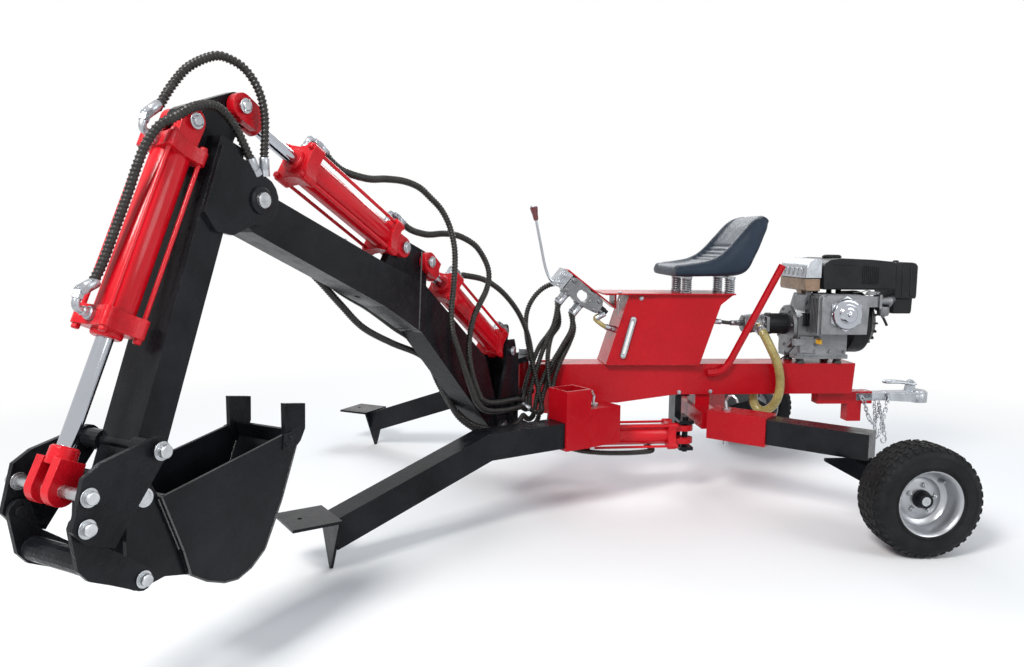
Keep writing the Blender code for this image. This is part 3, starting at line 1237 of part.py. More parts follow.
def build_arm():
    swing_post(paint("swing_post", BLACK, 0.3))
    boom(paint("boom", BLACK, 0.3))
    headed_pin("boom_foot_pin", FOOT_PIVOT, BOOM_HALF + SIDE_GAP + CHEEK, 0.0150,
               paint("boom_foot_pin", ZINC, 0.3, 1.0))
    dipper(paint("dipper", BLACK, 0.3))
    headed_pin("dipper_pin", ELBOW, DIPPER_HALF_Y + CHEEK, 0.0190,
               paint("dipper_pin", ZINC, 0.3, 1.0))
    rocker(paint("rocker", BLACK, 0.3))
    bucket_link(paint("bucket_link", BLACK, 0.3))
    bucket(paint("bucket", BLACK, 0.3))
    bucket_hose(paint("bucket_hose", RUBBER, 0.6))
    spans = (("lift", LIFT_BASE, LIFT_ROD), ("crowd", CROWD_BASE, CROWD_ROD),
             ("curl", CURL_BASE, CURL_ROD))
    for name, base, tip in spans:
        frame = cylinder_frame(base, tip)
        length = hypot(tip[0] - base[0], tip[1] - base[1])
        barrel(name + "_barrel", frame, CYL_BODY, name == "lift",
               paint(name + "_barrel", GLOSS_RED, 0.25))
        pin_half = rocker_inner() if name == "curl" else CLEVIS_HALF + 0.007
        rod(name + "_rod", frame, length, PISTON_BACK, pin_half,
            paint(name + "_rod", CHROME, 0.15, 1.0))
    frame = swing_cylinder_frame()
    barrel("swing_barrel", frame, SWING_CYL_BODY, False, paint("swing_barrel", GLOSS_RED, 0.25))
    rod("swing_rod", frame, swing_cylinder_length(), SWING_PISTON_BACK, CLEVIS_HALF + 0.007,
        paint("swing_rod", CHROME, 0.15, 1.0))


def centre_on_ground():
    """Bring the middle of the model's footprint to the origin by moving the root."""
    bpy.context.view_layer.update()
    graph = bpy.context.evaluated_depsgraph_get()
    low, high = Vector((9, 9, 9)), Vector((-9, -9, -9))
    for obj in bpy.data.objects:
        if obj.type not in {"MESH", "CURVE"}:
            continue
        mesh = obj.evaluated_get(graph).to_mesh()
        for vert in mesh.vertices:
            point = obj.matrix_world @ vert.co
            low = Vector(map(min, low, point))
            high = Vector(map(max, high, point))
        obj.evaluated_get(graph).to_mesh_clear()
    middle = (low + high) / 2
    ROOT.location = (-middle.x, -middle.y, -low.z)
    bpy.context.view_layer.update()


def main():
    global ROOT
    clear_scene()
    ROOT = bpy.data.objects.new("trencher", None)
    bpy.context.scene.collection.objects.link(ROOT)
    build_chassis()
    build_station()
    build_engine()
    build_arm()
    centre_on_ground()


main()
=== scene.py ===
# %% [markdown]
# # A towable ride-on backhoe
#
# This lesson dresses a small backhoe trencher: a red tubular chassis on two wheels and two spiked
# legs, a seat, a petrol engine with a pump, and a black digging arm moved by four red cylinders.
# Each step says what a piece is, how it could be made, and why it is made this way here.

# %% Load the machine's frame
from math import atan2, cos, hypot, pi, radians, sin

import bmesh
import bpy
from mathutils import Matrix, Vector


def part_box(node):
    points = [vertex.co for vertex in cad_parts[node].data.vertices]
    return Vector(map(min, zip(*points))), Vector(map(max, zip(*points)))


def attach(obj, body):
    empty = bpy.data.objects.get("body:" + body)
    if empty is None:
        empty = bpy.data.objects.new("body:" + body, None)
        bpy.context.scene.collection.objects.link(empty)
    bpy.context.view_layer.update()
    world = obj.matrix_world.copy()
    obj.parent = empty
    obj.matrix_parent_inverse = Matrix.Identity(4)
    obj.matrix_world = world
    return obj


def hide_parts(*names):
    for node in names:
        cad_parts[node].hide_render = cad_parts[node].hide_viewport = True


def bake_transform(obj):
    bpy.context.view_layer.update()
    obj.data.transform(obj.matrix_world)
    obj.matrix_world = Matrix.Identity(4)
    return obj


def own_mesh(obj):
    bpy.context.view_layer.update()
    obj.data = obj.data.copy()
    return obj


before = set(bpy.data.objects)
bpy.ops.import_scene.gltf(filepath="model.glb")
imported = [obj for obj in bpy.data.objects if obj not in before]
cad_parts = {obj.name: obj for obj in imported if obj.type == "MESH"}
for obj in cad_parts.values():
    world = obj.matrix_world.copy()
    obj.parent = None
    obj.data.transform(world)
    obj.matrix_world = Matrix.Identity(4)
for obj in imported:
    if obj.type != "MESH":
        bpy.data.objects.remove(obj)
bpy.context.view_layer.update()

# %% [markdown]
# ## The machine's own frames
#
# Every piece of the machine was laid out from the swing axis, so that is where our own frames
# start. The kingpin stands on that axis: the middle of its box gives the axis. The digging arm
# lies in an upright plane swung 58 degrees to the operator's left. A matrix per frame lets each
# piece be drawn with simple numbers and put in its place afterwards.

# %% Frames of chassis, arm and rams
def middle(node):
    """Middle of a CAD node's box."""
    low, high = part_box(node)
    return (low + high) / 2


kingpin = middle("swing_kingpin")
CHASSIS = Matrix.Translation((kingpin.x, kingpin.y, 0))
ARM = CHASSIS @ Matrix.Rotation(pi + radians(58), 4, "Z")
TO_CHASSIS = CHASSIS.inverted()


def ram_frame(base, tip):
    """A ram of the arm: x from its base pin to its rod pin, y along the pins, z outwards."""
    lean = atan2(tip[1] - base[1], tip[0] - base[0])
    return ARM @ Matrix.Translation((base[0], 0, base[1])) @ Matrix.Rotation(-lean, 4, "Y")


print("swing axis at", tuple(round(c, 4) for c in kingpin))

# %% [markdown]
# ## Camera, floor and light
#
# The view is from the operator's left, at chest height and with a fairly wide lens. A camera can be
# aimed by a Track To constraint, but a matrix made from a yaw, a pitch and a small roll says
# exactly where it looks. The floor is nearly white. Light Path nodes let the camera, and anything
# mirrored or seen through glass, meet a plain white surround, while the machine is lit by the
# lamps and a dimmer, slightly blue surround.

# %% Camera
def aim(spot, yaw, pitch, roll):
    forward = Vector((sin(yaw) * cos(pitch), cos(yaw) * cos(pitch), -sin(pitch)))
    right = Vector((cos(yaw), -sin(yaw), 0))
    up = right.cross(forward)
    sideways = right * cos(roll) + up * sin(roll)
    above = up * cos(roll) - right * sin(roll)
    return Matrix.Translation(spot) @ Matrix((sideways, above, -forward)).transposed().to_4x4()


lens = bpy.data.cameras.new("view")
lens.lens = 28.63
lens.sensor_width = 36
view = bpy.data.objects.new("view", lens)
bpy.context.scene.collection.objects.link(view)
view.matrix_world = aim((-0.62, -3.051, 1.106), 0.077, 0.115, 0.009)
bpy.context.scene.camera = view
bpy.context.scene.view_settings.view_transform = "Standard"
print("camera", round(lens.lens, 2), "mm")


# %% Wiring helper for shader nodes
class Wires:
    """A material's or world's node tree, with short calls that add a node and its values."""

    def __init__(self, owner):
        owner.use_nodes = True
        self.tree = owner.node_tree
        self.tree.nodes.clear()

    def node(self, kind, settings=None, **values):
        made = self.tree.nodes.new(kind)
        for name, value in (settings or {}).items():
            setattr(made, name, value)
        for name, value in values.items():
            self.give(made, name.replace("_", " "), value)
        return made

    def give(self, node, name, value):
        socket = node.inputs[int(name)] if name.isdigit() else node.inputs[name]
        if isinstance(value, bpy.types.NodeSocket):
            self.tree.links.new(value, socket)
        else:
            socket.default_value = value

    def math(self, operation, a, b=0.0):
        made = self.node("ShaderNodeMath", {"operation": operation})
        self.give(made, "0", a)
        self.give(made, "1", b)
        return made.outputs[0]

    def ramp(self, value, low, high, to_low=0.0, to_high=1.0):
        made = self.node("ShaderNodeMapRange", Value=value)
        for name, number in (("From Min", low), ("From Max", high), ("To Min", to_low),
                ("To Max", to_high)):
            self.give(made, name, number)
        return made.outputs[0]

    def mix(self, factor, a, b):
        made = self.node("ShaderNodeMix", {"data_type": "RGBA"})
        self.give(made, "0", factor)
        self.give(made, "6", a)
        self.give(made, "7", b)
        return made.outputs[2]

    def mix_shaders(self, factor, first, second):
        both = self.node("ShaderNodeMixShader", Fac=factor)
        self.tree.links.new(first.outputs[0], both.inputs[1])
        self.tree.links.new(second.outputs[0], both.inputs[2])
        return both.outputs[0]

    def seen_plain(self):
        """1 for rays from the camera, off a mirror or through glass."""
        path = self.node("ShaderNodeLightPath").outputs
        seen = self.math("MAXIMUM", path["Is Camera Ray"], path["Is Glossy Ray"])
        return self.math("MAXIMUM", seen, path["Is Transmission Ray"])


# %% Surround and floor
world = bpy.data.worlds.new("surround")
bpy.context.scene.world = world
wires = Wires(world)
lit = wires.node("ShaderNodeBackground", Color=(0.86, 0.92, 1.0, 1), Strength=0.55)
white = wires.node("ShaderNodeBackground", Color=(1, 1, 1, 1), Strength=1.0)
both = wires.mix_shaders(wires.seen_plain(), lit, white)
wires.node("ShaderNodeOutputWorld", Surface=both)

floor_mesh = bpy.data.meshes.new("studio_floor")
floor_mesh.from_pydata([(-30, -30, 0), (30, -30, 0), (30, 30, 0), (-30, 30, 0)], [], [(0, 1, 2, 3)])
studio_floor = bpy.data.objects.new("studio_floor", floor_mesh)
bpy.context.scene.collection.objects.link(studio_floor)
paper = bpy.data.materials.new("studio_paper")
wires = Wires(paper)
spot = wires.node("ShaderNodeTexCoord").outputs["Object"]
away = wires.node("ShaderNodeVectorMath", {"operation": "LENGTH"})
wires.tree.links.new(spot, away.inputs[0])
fade = wires.ramp(away.outputs["Value"], 1.9, 4.2)
matt = wires.node("ShaderNodeBsdfDiffuse", Color=(0.86, 0.86, 0.86, 1))
glow = wires.node("ShaderNodeEmission", Color=(1, 1, 1, 1), Strength=1.0)
both = wires.mix_shaders(wires.math("MULTIPLY", fade, wires.seen_plain()), matt, glow)
wires.node("ShaderNodeOutputMaterial", Surface=both)
floor_mesh.materials.append(paper)


# %% Soft lamps
def lamp(name, spot, target, size, watts, colour=(1, 1, 1)):
    light = bpy.data.lights.new(name, "AREA")
    light.shape = "DISK"
    light.size, light.energy, light.color = size, watts, colour
    holder = bpy.data.objects.new(name, light)
    bpy.context.scene.collection.objects.link(holder)
    turn = (Vector(target) - Vector(spot)).to_track_quat("-Z", "Y").to_matrix().to_4x4()
    holder.matrix_world = Matrix.Translation(spot) @ turn


lamp("key", (-2.6, -3.6, 4.2), (-0.2, 0, 0.5), 1.6, 270, (1, 0.985, 0.96))
lamp("fill", (3.4, -3.2, 2.6), (0.2, 0, 0.5), 2.6, 70, (0.96, 0.98, 1))
lamp("back", (0.6, 4.2, 3.6), (0, 0, 0.6), 2.6, 110, (0.95, 0.98, 1))
print("three lamps, a white floor and a white surround")
# %% [markdown]
# ## Finishes
#
# Nearly everything on this machine is painted steel, bare plated steel, cast metal or rubber. A
# single colour looks like plastic, so one recipe makes all the finishes and each one sets its own
# amounts: a slow cloud of darker and lighter colour, patches of more and less shine, and fine grain
# as bump. A Bevel node rounds the light on sharp plate edges without touching the mesh, and where
# its rounded normal leaves the face's own, the paint is thin, so a little of the edge colour shows.
# Noise nodes were chosen over image textures because they need no unwrapping and have no seams.

# %% The recipe for a finish
def finish(name, colour, rough=(0.25, 0.35), metal=0.0, cloud=(6.0, 0.12), grain=(220.0, 0.0004),
        edge=None, wear=0.5, radius=0.0016, coat=0.0, shine=0.5, through=0.0, dimple=None):
    """cloud is (scale, amount) of colour change; grain and dimple are (scale, height in metres)."""
    made = bpy.data.materials.new(name)
    w = Wires(made)
    spot = w.node("ShaderNodeTexCoord").outputs["Object"]
    slow = w.node("ShaderNodeTexNoise", Vector=spot, Scale=cloud[0], Detail=5.0, Roughness=0.6)
    patches = w.node("ShaderNodeTexNoise", Vector=spot, Scale=cloud[0] * 3.7, Detail=8.0, Roughness=0.65,
        Distortion=0.4)
    dark = tuple(c * (1 - cloud[1]) for c in colour) + (1,)
    pale = tuple(min(1, c * (1 + cloud[1]) + 0.02 * cloud[1]) for c in colour) + (1,)
    paint = w.mix(w.ramp(slow.outputs["Fac"], 0.32, 0.68), dark, pale)
    fine = w.node("ShaderNodeTexNoise", Vector=spot, Scale=grain[0], Detail=3.0)
    height = w.math("MULTIPLY", fine.outputs["Fac"], grain[1])
    if dimple:
        pits = w.node("ShaderNodeTexNoise", Vector=spot, Scale=dimple[0], Detail=2.0, Distortion=0.7)
        height = w.math("ADD", height, w.math("MULTIPLY", pits.outputs["Fac"], dimple[1]))
    rounded = w.node("ShaderNodeBevel", {"samples": 4}, Radius=radius)
    if edge:
        face = w.node("ShaderNodeNewGeometry").outputs["Normal"]
        dot = w.node("ShaderNodeVectorMath", {"operation": "DOT_PRODUCT"})
        w.tree.links.new(face, dot.inputs[0])
        w.tree.links.new(rounded.outputs[0], dot.inputs[1])
        worn = w.ramp(dot.outputs["Value"], 0.97, 0.8, 0.0, wear)
        worn = w.math("MULTIPLY", worn, w.ramp(patches.outputs["Fac"], 0.42, 0.6))
        paint = w.mix(worn, paint, tuple(edge) + (1,))
    bump = w.node("ShaderNodeBump", Height=height, Strength=1.0, Distance=1.0, Normal=rounded.outputs[0])
    dull = w.ramp(patches.outputs["Fac"], 0.35, 0.65, *rough)
    shader = w.node("ShaderNodeBsdfPrincipled", Base_Color=paint, Roughness=dull, Normal=bump.outputs[0],
        Metallic=metal)
    for socket, value in (("Coat Weight", coat), ("Coat Roughness", 0.06), ("Specular IOR Level", shine),
            ("Transmission Weight", through)):
        shader.inputs[socket].default_value = value
    w.node("ShaderNodeOutputMaterial", Surface=shader.outputs[0])
    return made


# %% Paints
frame_red = finish("frame_red", (0.385, 0.0026, 0.0082), (0.2, 0.34), cloud=(3.0, 0.1),
    grain=(160.0, 0.00018), edge=(0.62, 0.06, 0.05), wear=0.45, dimple=(38.0, 0.00045), coat=0.06,
    shine=0.18)
ram_red = finish("ram_red", (0.54, 0.0036, 0.0115), (0.14, 0.26), cloud=(8.0, 0.08),
    grain=(120.0, 0.00012), edge=(0.72, 0.1, 0.09), wear=0.4, coat=0.12, shine=0.22)
cast_red = finish("cast_red", (0.5, 0.0036, 0.0105), (0.2, 0.36), cloud=(14.0, 0.12),
    grain=(260.0, 0.0007), edge=(0.72, 0.1, 0.09), wear=0.4, dimple=(90.0, 0.0008), coat=0.08,
    shine=0.22)
arm_black = finish("arm_black", (0.0052, 0.0058, 0.008), (0.16, 0.34), cloud=(5.0, 0.35),
    grain=(240.0, 0.00022), edge=(0.1, 0.1, 0.1), wear=0.5, dimple=(60.0, 0.0005), coat=0.03, shine=0.12)
plate_black = finish("plate_black", (0.006, 0.0066, 0.0088), (0.2, 0.4), cloud=(9.0, 0.35),
    grain=(240.0, 0.0004), edge=(0.1, 0.1, 0.1), wear=0.5, dimple=(72.0, 0.0016), coat=0.02, shine=0.12)
weld_black = finish("weld_black", (0.012, 0.0125, 0.014), (0.1, 0.24), cloud=(40.0, 0.3),
    grain=(400.0, 0.0008), shine=0.9)
weld_red = finish("weld_red", (0.35, 0.003, 0.008), (0.25, 0.42), cloud=(40.0, 0.2),
    grain=(400.0, 0.0008), coat=0.08, shine=0.25)
print("paints made")

# %% Bare metals
zinc = finish("zinc", (0.4, 0.42, 0.45), (0.26, 0.46), 1.0, (22.0, 0.14), (300.0, 0.0003),
    edge=(0.62, 0.63, 0.65), wear=0.5, radius=0.0008)
pin_steel = finish("pin_steel", (0.48, 0.5, 0.52), (0.24, 0.46), 1.0, (30.0, 0.22), (260.0, 0.0005),
    edge=(0.7, 0.7, 0.7), radius=0.0008)
chrome = finish("chrome", (0.44, 0.46, 0.5), (0.05, 0.11), 1.0, (4.0, 0.05), (500.0, 0.00003))
cast_aluminium = finish("cast_aluminium", (0.205, 0.21, 0.22), (0.36, 0.55), 1.0, (18.0, 0.22),
    (340.0, 0.0012), edge=(0.42, 0.42, 0.42), wear=0.6, dimple=(110.0, 0.0008))
valve_casting = finish("valve_casting", (0.19, 0.195, 0.205), (0.3, 0.5), 1.0, (18.0, 0.18),
    (340.0, 0.0009), edge=(0.7, 0.7, 0.7))
rim_silver = finish("rim_silver", (0.4, 0.41, 0.43), (0.28, 0.42), 0.85, (7.0, 0.1), (260.0, 0.0002),
    coat=0.2, dimple=(50.0, 0.0003))
warm_steel = finish("warm_steel", (0.22, 0.155, 0.11), (0.32, 0.5), 1.0, (16.0, 0.25), (300.0, 0.0006))
print("metals made")

# %% Rubber, plastics and vinyl
tyre_rubber = finish("tyre_rubber", (0.008, 0.0084, 0.0092), (0.5, 0.72), cloud=(9.0, 0.3),
    grain=(420.0, 0.0006), edge=(0.03, 0.028, 0.026), wear=0.6, shine=0.14)
black_plastic = finish("black_plastic", (0.007, 0.0078, 0.0095), (0.26, 0.42), cloud=(12.0, 0.2),
    grain=(520.0, 0.0007), edge=(0.045, 0.045, 0.045), wear=0.3, shine=0.18)
fan_black = finish("fan_black", (0.006, 0.0064, 0.0072), (0.34, 0.52), cloud=(12.0, 0.2),
    grain=(520.0, 0.0009), shine=0.18)
hose_guard = finish("hose_guard", (0.013, 0.0118, 0.0105), (0.28, 0.42), cloud=(30.0, 0.3),
    grain=(500.0, 0.0003), shine=0.34)
hose_rubber = finish("hose_rubber", (0.011, 0.011, 0.0115), (0.42, 0.58), cloud=(20.0, 0.25),
    grain=(500.0, 0.0005))
clear_hose = finish("clear_hose", (0.42, 0.34, 0.12), (0.18, 0.3), cloud=(16.0, 0.22),
    grain=(300.0, 0.0003), through=0.35)
seat_vinyl = finish("seat_vinyl", (0.011, 0.02, 0.036), (0.36, 0.5), cloud=(5.0, 0.16),
    grain=(650.0, 0.0009), edge=(0.045, 0.052, 0.064), wear=0.3, dimple=(260.0, 0.0008), shine=0.18)
oil_yellow = finish("oil_yellow", (0.72, 0.38, 0.02), (0.3, 0.42), cloud=(30.0, 0.12))
knob_red = finish("knob_red", (0.09, 0.004, 0.006), (0.14, 0.22), cloud=(20.0, 0.3), coat=0.5)
gauge_glass = finish("gauge_glass", (0.7, 0.72, 0.7), (0.06, 0.12), cloud=(20.0, 0.1),
    grain=(500.0, 0.00005), coat=0.6)
print(len(bpy.data.materials), "finishes so far")
# %% [markdown]
# ## Paint on the welded frame
#
# Beam, legs, console, boom and bucket are folded and welded plate, and their solids already have
# the right shape. They could be modelled again, but then two shapes would have to agree. Here they
# stay and only get their paint: the node objects' material slots are filled with the finishes.

# %% Paint the solids that stay
PAINTED = (
    (frame_red, "main_beam front_crossmember rear_crossmember tow_tube console_tank deck_plate "
                "grab_bar valve_bracket"),
    (arm_black, "front_leg_left front_leg_right rear_leg_left rear_leg_right swing_post boom dipper "
                "swing_bracket bucket"),
    (plate_black, "rocker bucket_link"),
    (zinc, "swing_kingpin boom_foot_pin dipper_pin drive_coupling"),
    (pin_steel, "front_pin_left front_pin_right rear_pin_left rear_pin_right lever_yoke"),
    (black_plastic, "bell_housing"),
)
for coat, names in PAINTED:
    for name in names.split():
        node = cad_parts[name]
        node.data.materials.clear()
        node.data.materials.append(coat)
print(sum(len(names.split()) for coat, names in PAINTED), "solids painted")
# %% [markdown]
# ## Tools for drawing pieces
#
# The other pieces are drawn one by one. A small class gathers solids into one mesh: plates, bars,
# turned parts, tubes along a route, bolts and weld beads. Edit mode could draw each of them, but a
# machine repeats them hundreds of times, so a call per shape is shorter and keeps sizes exact. Every
# point goes through the piece's frame at once, and the finished piece is given to a body to ride.

# %% Rings, routes and directions
def across(direction):
    """Two unit vectors square to a direction."""
    axis = Vector(direction).normalized()
    helper = Vector((0, 0, 1)) if abs(axis.z) < 0.9 else Vector((0, 1, 0))
    side = axis.cross(helper).normalized()
    return side, axis.cross(side)


def arc(centre, radius, start, end, steps=8):
    turns = [radians(start + (end - start) * i / steps) for i in range(steps + 1)]
    return [(centre[0] + radius * cos(a), centre[1] + radius * sin(a)) for a in turns]


def turns(count, shift=0):
    """Angles of a full turn in equal steps."""
    return [2 * pi * (i + shift) / count for i in range(count)]


def eased(a, b, c, d, t):
    """Point at t on the smooth curve from b to c, with a before and d after them."""
    return 0.5 * (2 * b + (c - a) * t + (2 * a - 5 * b + 4 * c - d) * t ** 2
                  + (3 * b - a - 3 * c + d) * t ** 3)


def smooth_route(route, step):
    """Points of a smooth curve through the route's own points, about a step apart."""
    route = [Vector(p) for p in route]
    ends = [route[0] * 2 - route[1]] + route + [route[-1] * 2 - route[-2]]
    points = []
    for a, b, c, d in zip(ends, ends[1:], ends[2:], ends[3:]):
        count = max(2, round((c - b).length / step))
        points += [eased(a, b, c, d, n / count) for n in range(count)]
    return points + [route[-1]]


# %% The shape that gathers solids
CLEAR = 0.0003    # gap left under a washer, so that it doesn't lie in its plate's face
TIP = 0.0003      # radius that closes the end of a turned part


class Shape:
    """Solids gathered into one mesh. They are drawn in the frame `at` with finish number `coat`."""

    def __init__(self, at=CHASSIS):
        self.mesh, self.at, self.coat = bmesh.new(), at, 0

    def skin(self, rings, looped=False):
        """Skin over rings of points; the ends are capped unless the last ring joins the first."""
        rows = [[self.mesh.verts.new(self.at @ Vector(p)) for p in ring] for ring in rings]
        faces = []
        for a, b in zip(rows, rows[1:] + rows[:1] if looped else rows[1:]):
            for i in range(len(a)):
                k = (i + 1) % len(a)
                faces.append(self.mesh.faces.new((a[i], a[k], b[k], b[i])))
        if not looped:
            faces += [self.mesh.faces.new(rows[0][::-1]), self.mesh.faces.new(rows[-1])]
        for face in faces:
            face.material_index = self.coat

    def plate(self, outline, y0, y1):
        self.skin([[(x, y, z) for x, z in outline] for y in (y0, y1)])

    def slab(self, outline, z0, z1):
        self.skin([[(x, y, z) for x, y in outline] for z in (z0, z1)])

    def box(self, x0, x1, y0, y1, z0, z1):
        self.slab([(x0, y0), (x1, y0), (x1, y1), (x0, y1)], z0, z1)

    def turned(self, profile, centre, axis, sides=40, looped=False):
        """profile: (distance along the axis, radius) from one end to the other."""
        side, up = across(axis)
        axis, centre = Vector(axis).normalized(), Vector(centre)
        rings = []
        for along, radius in profile:
            rings.append([centre + axis * along + (side * cos(a) + up * sin(a)) * radius
                for a in turns(sides, 0.5)])
        self.skin(rings, looped)

    def bar(self, start, end, radius, sides=28):
        start, end = Vector(start), Vector(end)
        self.turned([(0, radius), ((end - start).length, radius)], start, end - start, sides)

    def tube(self, points, radius, sides=12, looped=False):
        """A round bar along points; radius is a number or a function of distance and angle."""
        points = [Vector(p) for p in points]
        count, run, rings, side = len(points), 0.0, [], None
        for i, point in enumerate(points):
            before = points[i - 1] if i or looped else point
            after = points[(i + 1) % count] if i + 1 < count or looped else point
            ahead = (after - before).normalized()
            side = across(ahead)[0] if side is None else side
            side = (side - ahead * side.dot(ahead)).normalized()
            up = ahead.cross(side)
            if i:
                run += (point - points[i - 1]).length
            sizes = [(a, radius(run, a) if callable(radius) else radius) for a in turns(sides)]
            rings.append([point + (side * cos(a) + up * sin(a)) * r for a, r in sizes])
        self.skin(rings, looped)

    def bolt(self, centre, axis, size=0.01, proud=0.008, washer=True):
        """Hexagon head with a chamfered crown on a washer."""
        if washer:
            self.turned([(0, size * 1.15), (0.0016, size * 1.15)], centre, axis, 20)
        self.turned([(0.0012, size), (proud * 0.8, size), (proud, size * 0.82)], centre, axis, 6)

    def weld(self, start, end, radius=0.004):
        """A weld bead of overlapping ripples along a seam."""
        start, end = Vector(start), Vector(end)
        count = max(4, round((end - start).length / 0.0022))
        points = [start.lerp(end, i / count) for i in range(count + 1)]
        ripple = radius * 0.22
        self.tube(points, lambda run, a: radius + ripple * abs(sin(run * pi / 0.0066)), 8)

    def piece(self, name, body, *coats, soft=0.0012, angle=38, replaces=()):
        """Finish the mesh: normals out, edges softened, materials on, riding its body."""
        bmesh.ops.recalc_face_normals(self.mesh, faces=self.mesh.faces)
        mesh = bpy.data.meshes.new(name)
        self.mesh.to_mesh(mesh)
        self.mesh.free()
        for coat in coats:
            mesh.materials.append(coat)
        mesh.shade_smooth()
        mesh.set_sharp_from_angle(angle=radians(angle))
        made = bpy.data.objects.new(name, mesh)
        bpy.context.scene.collection.objects.link(made)
        if soft:
            bevel = made.modifiers.new("soft edges", "BEVEL")
            bevel.width, bevel.segments, bevel.limit_method = soft, 2, "ANGLE"
            bevel.angle_limit = radians(angle)
            bevel.use_clamp_overlap = True
        if body:
            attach(made, body)
        if replaces:
            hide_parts(*replaces)
        return made


print("drawing tools ready")
# %% [markdown]
# ## Tie-rod rams
#
# Each ram is a honed tube held between two cast caps by four long bolts, with a chromed rod and a
# forked eye at each end. A plain cylinder would lose all of that, so the caps are drawn as castings
# with a lobe round each tie rod, the tube is turned, and nuts, gland and port elbows are added.
# Tube and rod are separate pieces because they ride on separate bodies and slide in each other.

# %% Parts of a ram
TIE = 0.0445    # each tie rod's distance from the ram's middle planes
LOBE = 0.013    # radius of a cap's lobe round a tie rod
WAIST = 0.0475  # half the cap's width between two lobes
PIN = 0.0125    # radius of a ram's pins
CAP_PORT, GLAND_PORT = 0.0725, 0.0225   # port elbows, from the base pin and from the tube's end
ELBOW_REACH, ELBOW_RISE = 0.036, 0.092  # from the port's foot to where the hose starts


def cap(shape, x0, x1):
    """Square casting with a round lobe at each tie rod and slightly hollow sides."""
    outline = []
    for quarter in range(4):
        turn = 45 + 90 * quarter
        corner = (TIE * (1 if quarter in (0, 3) else -1), TIE * (1 if quarter < 2 else -1))
        outline += arc(corner, LOBE, turn - 88, turn + 88, 7)
        side = radians(turn + 45)
        outline.append((WAIST * cos(side), WAIST * sin(side)))
    shape.skin([[(x, y, z) for y, z in outline] for x in (x0, x1)])


def forked_eye(shape, pin_x, back):
    """Two rounded lugs about the pin, tied by a heavy shank."""
    turn = 1 if back > pin_x else -1
    line = arc((pin_x, 0), 0.033, 90 * turn, 90 * turn + 180, 12) + [(back, -turn * 0.03),
        (back, turn * 0.03)]
    for low, high in ((0.015, 0.0395), (-0.0395, -0.015)):
        shape.plate(line, low, high)


def cross_pin(shape, x, half):
    """Plated pin with chamfered ends, a head washer and a cotter through its far end."""
    shape.turned([(-half - 0.01, PIN - 0.002), (-half - 0.008, PIN), (half + 0.006, PIN),
        (half + 0.008, PIN - 0.002)], (x, 0, 0), (0, 1, 0), 32)
    for side in (-1, 1):
        shape.turned([(CLEAR, PIN + 0.0065), (0.0028, PIN + 0.0065)], (x, side * half, 0), (0, side, 0),
            28)
    cotter = Vector((x, half + 0.005, 0))
    shape.bar(cotter + Vector((0, 0, -0.017)), cotter + Vector((0, 0, 0.019)), 0.002, 8)


def elbow(shape, x, lean):
    """Port elbow on a cap: nut, bent neck and hose nut, turned towards -x or +x by lean."""
    shape.turned([(0, 0.015), (0.012, 0.015), (0.013, 0.0125)], (x, 0, 0.048), (0, 0, 1), 24)
    shape.turned([(0, 0.012), (0.012, 0.012), (0.014, 0.01)], (x, 0, 0.06), (0, 0, 1), 6)
    neck = [(x, 0, 0.07), (x, 0, 0.082), (x + lean * 0.004, 0, 0.089), (x + lean * 0.012, 0, 0.092),
        (x + lean * 0.022, 0, 0.092)]
    shape.tube(smooth_route(neck, 0.004), 0.0088, 16)
    shape.turned([(0, 0.0122), (0.017, 0.0122), (0.019, 0.0105)], (x + lean * 0.018, 0, 0.092),
        (lean, 0, 0), 6)


# %% One whole ram
def ram(name, at, length, body, lean, pin_half, base_half):
    """A ram of this length between pins, with a tube as long as body; the halves are its pins'."""
    tube = Shape(at)
    tube.coat = 1
    cap(tube, 0.055, 0.09)
    cap(tube, body - 0.045, body)
    tube.turned([(body - 0.002, 0.034), (body + 0.01, 0.034), (body + 0.014, 0.03),
        (body + 0.014, 0.019)], (0, 0, 0), (1, 0, 0))
    forked_eye(tube, 0.0, 0.058)
    tube.coat = 0
    tube.turned([(0.088, 0.0425), (0.094, 0.044), (body - 0.05, 0.044), (body - 0.044, 0.0425)],
        (0, 0, 0), (1, 0, 0), 56)
    for sy in (-1, 1):
        for sz in (-1, 1):
            corner = Vector((0, sy * TIE, sz * TIE))
            tube.bar(corner + Vector((0.05, 0, 0)), corner + Vector((body + 0.004, 0, 0)), 0.0055, 14)
            tube.coat = 1
            tube.turned([(0, 0.01), (0.01, 0.01), (0.012, 0.008)], corner + Vector((body - 0.001, 0, 0)),
                (1, 0, 0), 6)
            tube.turned([(0, 0.01), (0.009, 0.01), (0.011, 0.008)], corner + Vector((0.0555, 0, 0)),
                (-1, 0, 0), 6)
            tube.coat = 0
    tube.piece(name + "_ram_tube", name + "_barrel", ram_red, cast_red, soft=0.0022,
        replaces=[name + "_barrel"])
    fittings = Shape(at)
    for x in (CAP_PORT, body - GLAND_PORT):
        elbow(fittings, x, lean)
    if base_half:
        cross_pin(fittings, 0.0, base_half)
    fittings.piece(name + "_ram_fittings", name + "_barrel", zinc, soft=0.0008)
    rod = Shape(at)
    rod.bar((length - 0.5, 0, 0), (length - 0.07, 0, 0), 0.0185, 40)
    rod.coat = 1
    forked_eye(rod, length, length - 0.062)
    rod.turned([(0, 0.025), (0.004, 0.0295), (0.034, 0.031), (0.04, 0.03)], (length - 0.088, 0, 0),
        (1, 0, 0), 40)
    rod.coat = 2
    cross_pin(rod, length, pin_half)
    rod.piece(name + "_ram_rod", name + "_rod", chrome, cast_red, pin_steel, soft=0.002,
        replaces=[name + "_rod"])
    print(name, "ram", round(length, 3), "m between pins")


